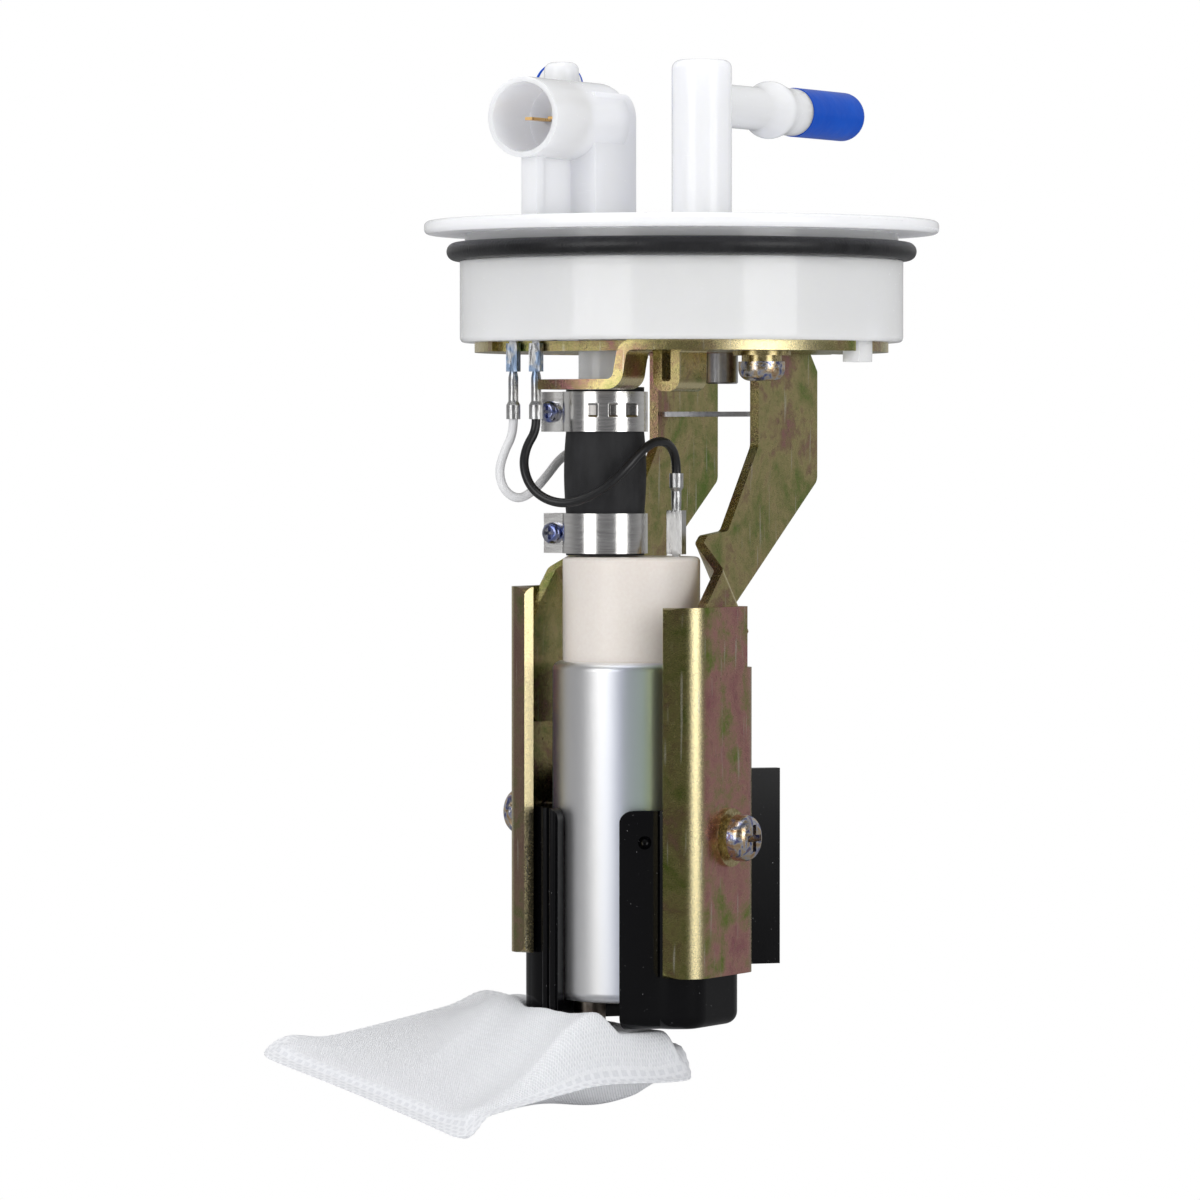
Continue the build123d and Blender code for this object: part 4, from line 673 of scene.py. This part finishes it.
def pillow_grid():
    """Two sheets over a grid of (-1..1, -1..1), joined at their rim.

    Each row of the rectangle is drawn in at the waist by a parabola, each square corner is
    carried onto a quarter disc by the elliptical mapping, and every other point of the rim
    steps inward as the teeth of a cut edge. The sheets stand apart by the border's
    thickness at the rim and by a little more inside it.
    """
    across, along = SOCK_CELLS
    s, t = np.meshgrid(np.linspace(-1, 1, across), np.linspace(-1, 1, along), indexing="ij")
    x = s * (SOCK_HALF[0] - WAIST * (1 - t ** 2))
    y = t * (SOCK_HALF[1] - WAIST * (1 - s ** 2))
    over_x = np.clip(np.abs(x) - SOCK_HALF[0] + CORNER_ROUND, 0, None) / CORNER_ROUND
    over_y = np.clip(np.abs(y) - SOCK_HALF[1] + CORNER_ROUND, 0, None) / CORNER_ROUND
    x -= np.sign(x) * CORNER_ROUND * over_x * (1 - np.sqrt(1 - over_y ** 2 / 2))
    y -= np.sign(y) * CORNER_ROUND * over_y * (1 - np.sqrt(1 - over_x ** 2 / 2))
    row, column = np.indices(s.shape)
    notch = TOOTH_DEPTH * ((row + column) % 2)
    x -= np.sign(s) * notch * (np.abs(s) == 1)
    y -= np.sign(t) * notch * (np.abs(t) == 1)
    rim = np.minimum((1 - np.abs(s)) * SOCK_HALF[0], (1 - np.abs(t)) * SOCK_HALF[1])
    height = WELD_THICK / 2 + PILLOW_START * ease(rim, WELD_WIDTH, WELD_WIDTH + WELD_STEP)
    top = np.stack([x, y, height], axis=2).reshape(-1, 3)
    bottom = top * (1, 1, -1)
    index = np.arange(across * along).reshape(across, along)
    quads = np.stack([index[:-1, :-1], index[1:, :-1], index[1:, 1:], index[:-1, 1:]], axis=2)
    quads = quads.reshape(-1, 4)
    ring = np.concatenate([index[:, 0], index[-1, 1:], index[-2::-1, -1], index[0, -2:0:-1]])
    after = np.roll(ring, -1)
    count = across * along
    side = np.stack([ring, ring + count, after + count, after], axis=1)
    faces = np.concatenate([quads, quads[:, ::-1] + count, side])
    places = np.stack([s, t], axis=2).reshape(-1, 2)
    return np.concatenate([top, bottom]), faces, rim.ravel(), np.concatenate([places, places])


def blow_up(piece, rim):
    """Cloth simulation: the sheets fill under a little pressure, held at the weld."""
    held = piece.vertex_groups.new(name="weld")
    for index in np.flatnonzero(rim < WELD_WIDTH).tolist():
        held.add([index, index + len(rim)], 1.0, "ADD")
    cloth = piece.modifiers.new("cloth", "CLOTH")
    cloth.settings.vertex_group_mass = "weld"
    cloth.settings.use_pressure = True
    cloth.settings.uniform_pressure_force = PILLOW_PRESSURE
    cloth.settings.tension_stiffness = CLOTH_STIFFNESS
    cloth.settings.compression_stiffness = CLOTH_STIFFNESS
    cloth.settings.bending_stiffness = CLOTH_BENDING
    cloth.settings.effector_weights.gravity = 0
    cloth.settings.quality = 6
    for step in range(1, CLOTH_FRAMES + 1):
        scene.frame_set(step)
    solved = piece.evaluated_get(bpy.context.evaluated_depsgraph_get()).to_mesh()
    points = np.zeros(len(solved.vertices) * 3, np.float32)
    solved.vertices.foreach_get("co", points)
    piece.modifiers.clear()
    scene.frame_set(1)
    return points.reshape(-1, 3).astype(float)


def edge_lift(places):
    """How far the weld bends up: along the front and the back edge, and at the left corner."""
    s, t = places.T
    front = FRONT_LIFT * ease(s, 1 - EDGE_REACH, 1) * ease(t, -1, -0.76) * (1 - ease(t, 0, 1))
    back = BACK_LIFT * ease(t, 1 - EDGE_REACH, 1) * (0.3 + 0.7 * ease(s, -1, 0.1)) * (1 - ease(s, 0.8, 1))
    curl = CURL_LIFT * np.exp(-((s + 1) / 0.18) ** 2 - ((t + 0.72) / 0.2) ** 2)
    return front + back + curl


def ridge(x, y, rim):
    """Rise of the upper sheet in front of the cradle: a long fold that fades to the left.

    Its crest line slants back on the left, its front side is gentler than its back side,
    which widens to a tail on the right, and it ends at the weld.
    """
    crest = RIDGE_LINE + RIDGE_SLANT * np.clip(-x, 0, None)
    tail = RIDGE_TAIL * ease(x, *RIDGE_RISE)
    spread = np.where(y < crest, RIDGE_SPREAD[0], RIDGE_SPREAD[1] + tail)
    fold = np.exp(-((y - crest) / spread) ** 2) * ease(x, RIDGE_START, RIDGE_FULL)
    height = RIDGE_HEIGHT[0] + (RIDGE_HEIGHT[1] - RIDGE_HEIGHT[0]) * ease(x, *RIDGE_RISE)
    return height * fold * ease(rim, *RIDGE_EDGE)


def belly(flat, rim):
    """Sag of the lower sheet below the inlet: a bell that ends at the weld."""
    offset = (flat - BELLY_SPOT) / BELLY_SPREAD
    return BELLY_DEPTH * np.exp(-(offset ** 2).sum(axis=1)) * ease(rim, *RIDGE_EDGE)


def ceiling(placed):
    """Height the cloth may reach.

    Below the cradle's footprint, a disc joined to a block across it, that is the cradle's
    underside less a gap. Outside it rises in proportion to the distance.
    """
    offset = placed[:, :2] - PUMP_AXIS
    from_disc = np.hypot(*offset.T) - CRADLE_RADIUS
    from_block = np.hypot(*np.clip(np.abs(offset) - CRADLE_HALF, 0, None).T)
    clear = np.clip(np.minimum(from_disc, from_block), 0, None)
    return CRADLE_UNDERSIDE - CLOTH_GAP + CRADLE_SLOPE * clear


def hang(points, rim, places):
    """Bends the filled sock into its hung shape, tilts it and keeps it off the cradle."""
    upper, lower = np.split(points, 2)
    lift = edge_lift(places[:len(rim)])
    upper[:, 2] += lift + ridge(upper[:, 0], upper[:, 1], rim)
    lower[:, 2] = BELLY_FLAT * lower[:, 2] + lift - belly(lower[:, :2], rim)
    turn = np.array([[math.cos(SOCK_TURN), -math.sin(SOCK_TURN), 0],
                     [math.sin(SOCK_TURN), math.cos(SOCK_TURN), 0], [0, 0, 1]])
    tilt = np.array(Matrix.Rotation(SOCK_TILT, 3, SOCK_TILT_AXIS))
    placed = points @ turn.T @ tilt.T + SOCK_MIDDLE
    placed[:, 2] = np.minimum(placed[:, 2], ceiling(placed))
    return placed


points, faces, rim, places = pillow_grid()
sock_mesh = bpy.data.meshes.new("strainer_cloth")
sock_mesh.from_pydata(points.tolist(), [], faces.tolist())
sock = bpy.data.objects.new("strainer_cloth", sock_mesh)
scene.collection.objects.link(sock)
blown = blow_up(sock, rim)
rise = PILLOW_CAP * np.tanh(np.abs(blown[:, 2]) / PILLOW_CAP)
points[:, 2] = np.sign(points[:, 2]) * rise
placed = hang(points, rim, places)
sock_mesh.vertices.foreach_set("co", placed.astype(np.float32).ravel())
uv = sock_mesh.uv_layers.new(name="cloth")
corner = np.zeros(len(sock_mesh.loops), np.int32)
sock_mesh.loops.foreach_get("vertex_index", corner)
uv.data.foreach_set("uv", (places[corner] * SOCK_HALF).astype(np.float32).ravel())
sock_mesh.polygons.foreach_set("use_smooth", np.ones(len(sock_mesh.polygons), bool))
smooth = sock.modifiers.new("smooth", "SUBSURF")
smooth.levels = smooth.render_levels = 1

YARN_PITCH = 0.0008
DASH_LENGTH = 0.0028
DASH_ROW = 0.0012
SEAM_WIDTH = (0.0042, 0.0068)

mesh_cloth = Finish("nylon_mesh", Specular_IOR_Level=0.3, Subsurface_Weight=0.2,
                    Subsurface_Radius=(0.003, 0.003, 0.003), Subsurface_Scale=1.0)
cloth_uv = mesh_cloth.node("ShaderNodeUVMap", {"uv_map": "cloth"})
across = mesh_cloth.component(cloth_uv, 0)
along = mesh_cloth.component(cloth_uv, 1)
yarn_turns = 2 * math.pi / YARN_PITCH
yarn = across.math("SINE", across * yarn_turns) * along.math("SINE", along * yarn_turns)
side_gap = float(SOCK_HALF[0]) - across.math("ABSOLUTE", across)
end_gap = float(SOCK_HALF[1]) - along.math("ABSOLUTE", along)
rim_gap = side_gap.math("MINIMUM", side_gap, end_gap)
at_side = side_gap.math("LESS_THAN", side_gap, end_gap)
seam_run = at_side * along + (1 - at_side) * across
row = rim_gap / DASH_ROW
brick = seam_run / DASH_LENGTH + 0.5 * row.math("FLOOR", row)
dash = brick.math("LESS_THAN", brick.math("FRACT", brick), 0.6) * row.math(
    "LESS_THAN", row.math("FRACT", row), 0.62)
seam = side_gap.math("MINIMUM", side_gap / SEAM_WIDTH[0], end_gap / SEAM_WIDTH[1])
welded = 1 - seam.above(0.85, 0.22)
thread = mesh_cloth.noise(1400.0, detail=2.0)
shade = 0.54 + 0.3 * (thread - 0.5) + 0.16 * yarn * (1 - welded) - 0.18 * welded * dash
mesh_cloth.feed(
    Base_Color=mesh_cloth.ramp(shade, [(0.1, (0.58, 0.59, 0.62)), (0.8, (0.90, 0.905, 0.92))]),
    Roughness=0.55 + 0.2 * thread,
)
mesh_cloth.bump((yarn * 0.5 + 0.5) * (1 - welded) + (1 - dash) * welded, 0.00018)
sock_mesh.materials.append(mesh_cloth.material)
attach(sock, "module")
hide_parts("strainer_sock")

collar_polymer = Finish("collar_polymer", Specular_IOR_Level=0.4)
collar_haze = collar_polymer.noise(400.0)
collar_polymer.feed(
    Base_Color=collar_polymer.ramp(collar_haze, [(0.3, (0.62, 0.62, 0.64)), (0.7, (0.74, 0.74, 0.75))]),
    Roughness=0.3 + 0.2 * collar_haze,
)
collar_polymer.dress("strainer_collar")
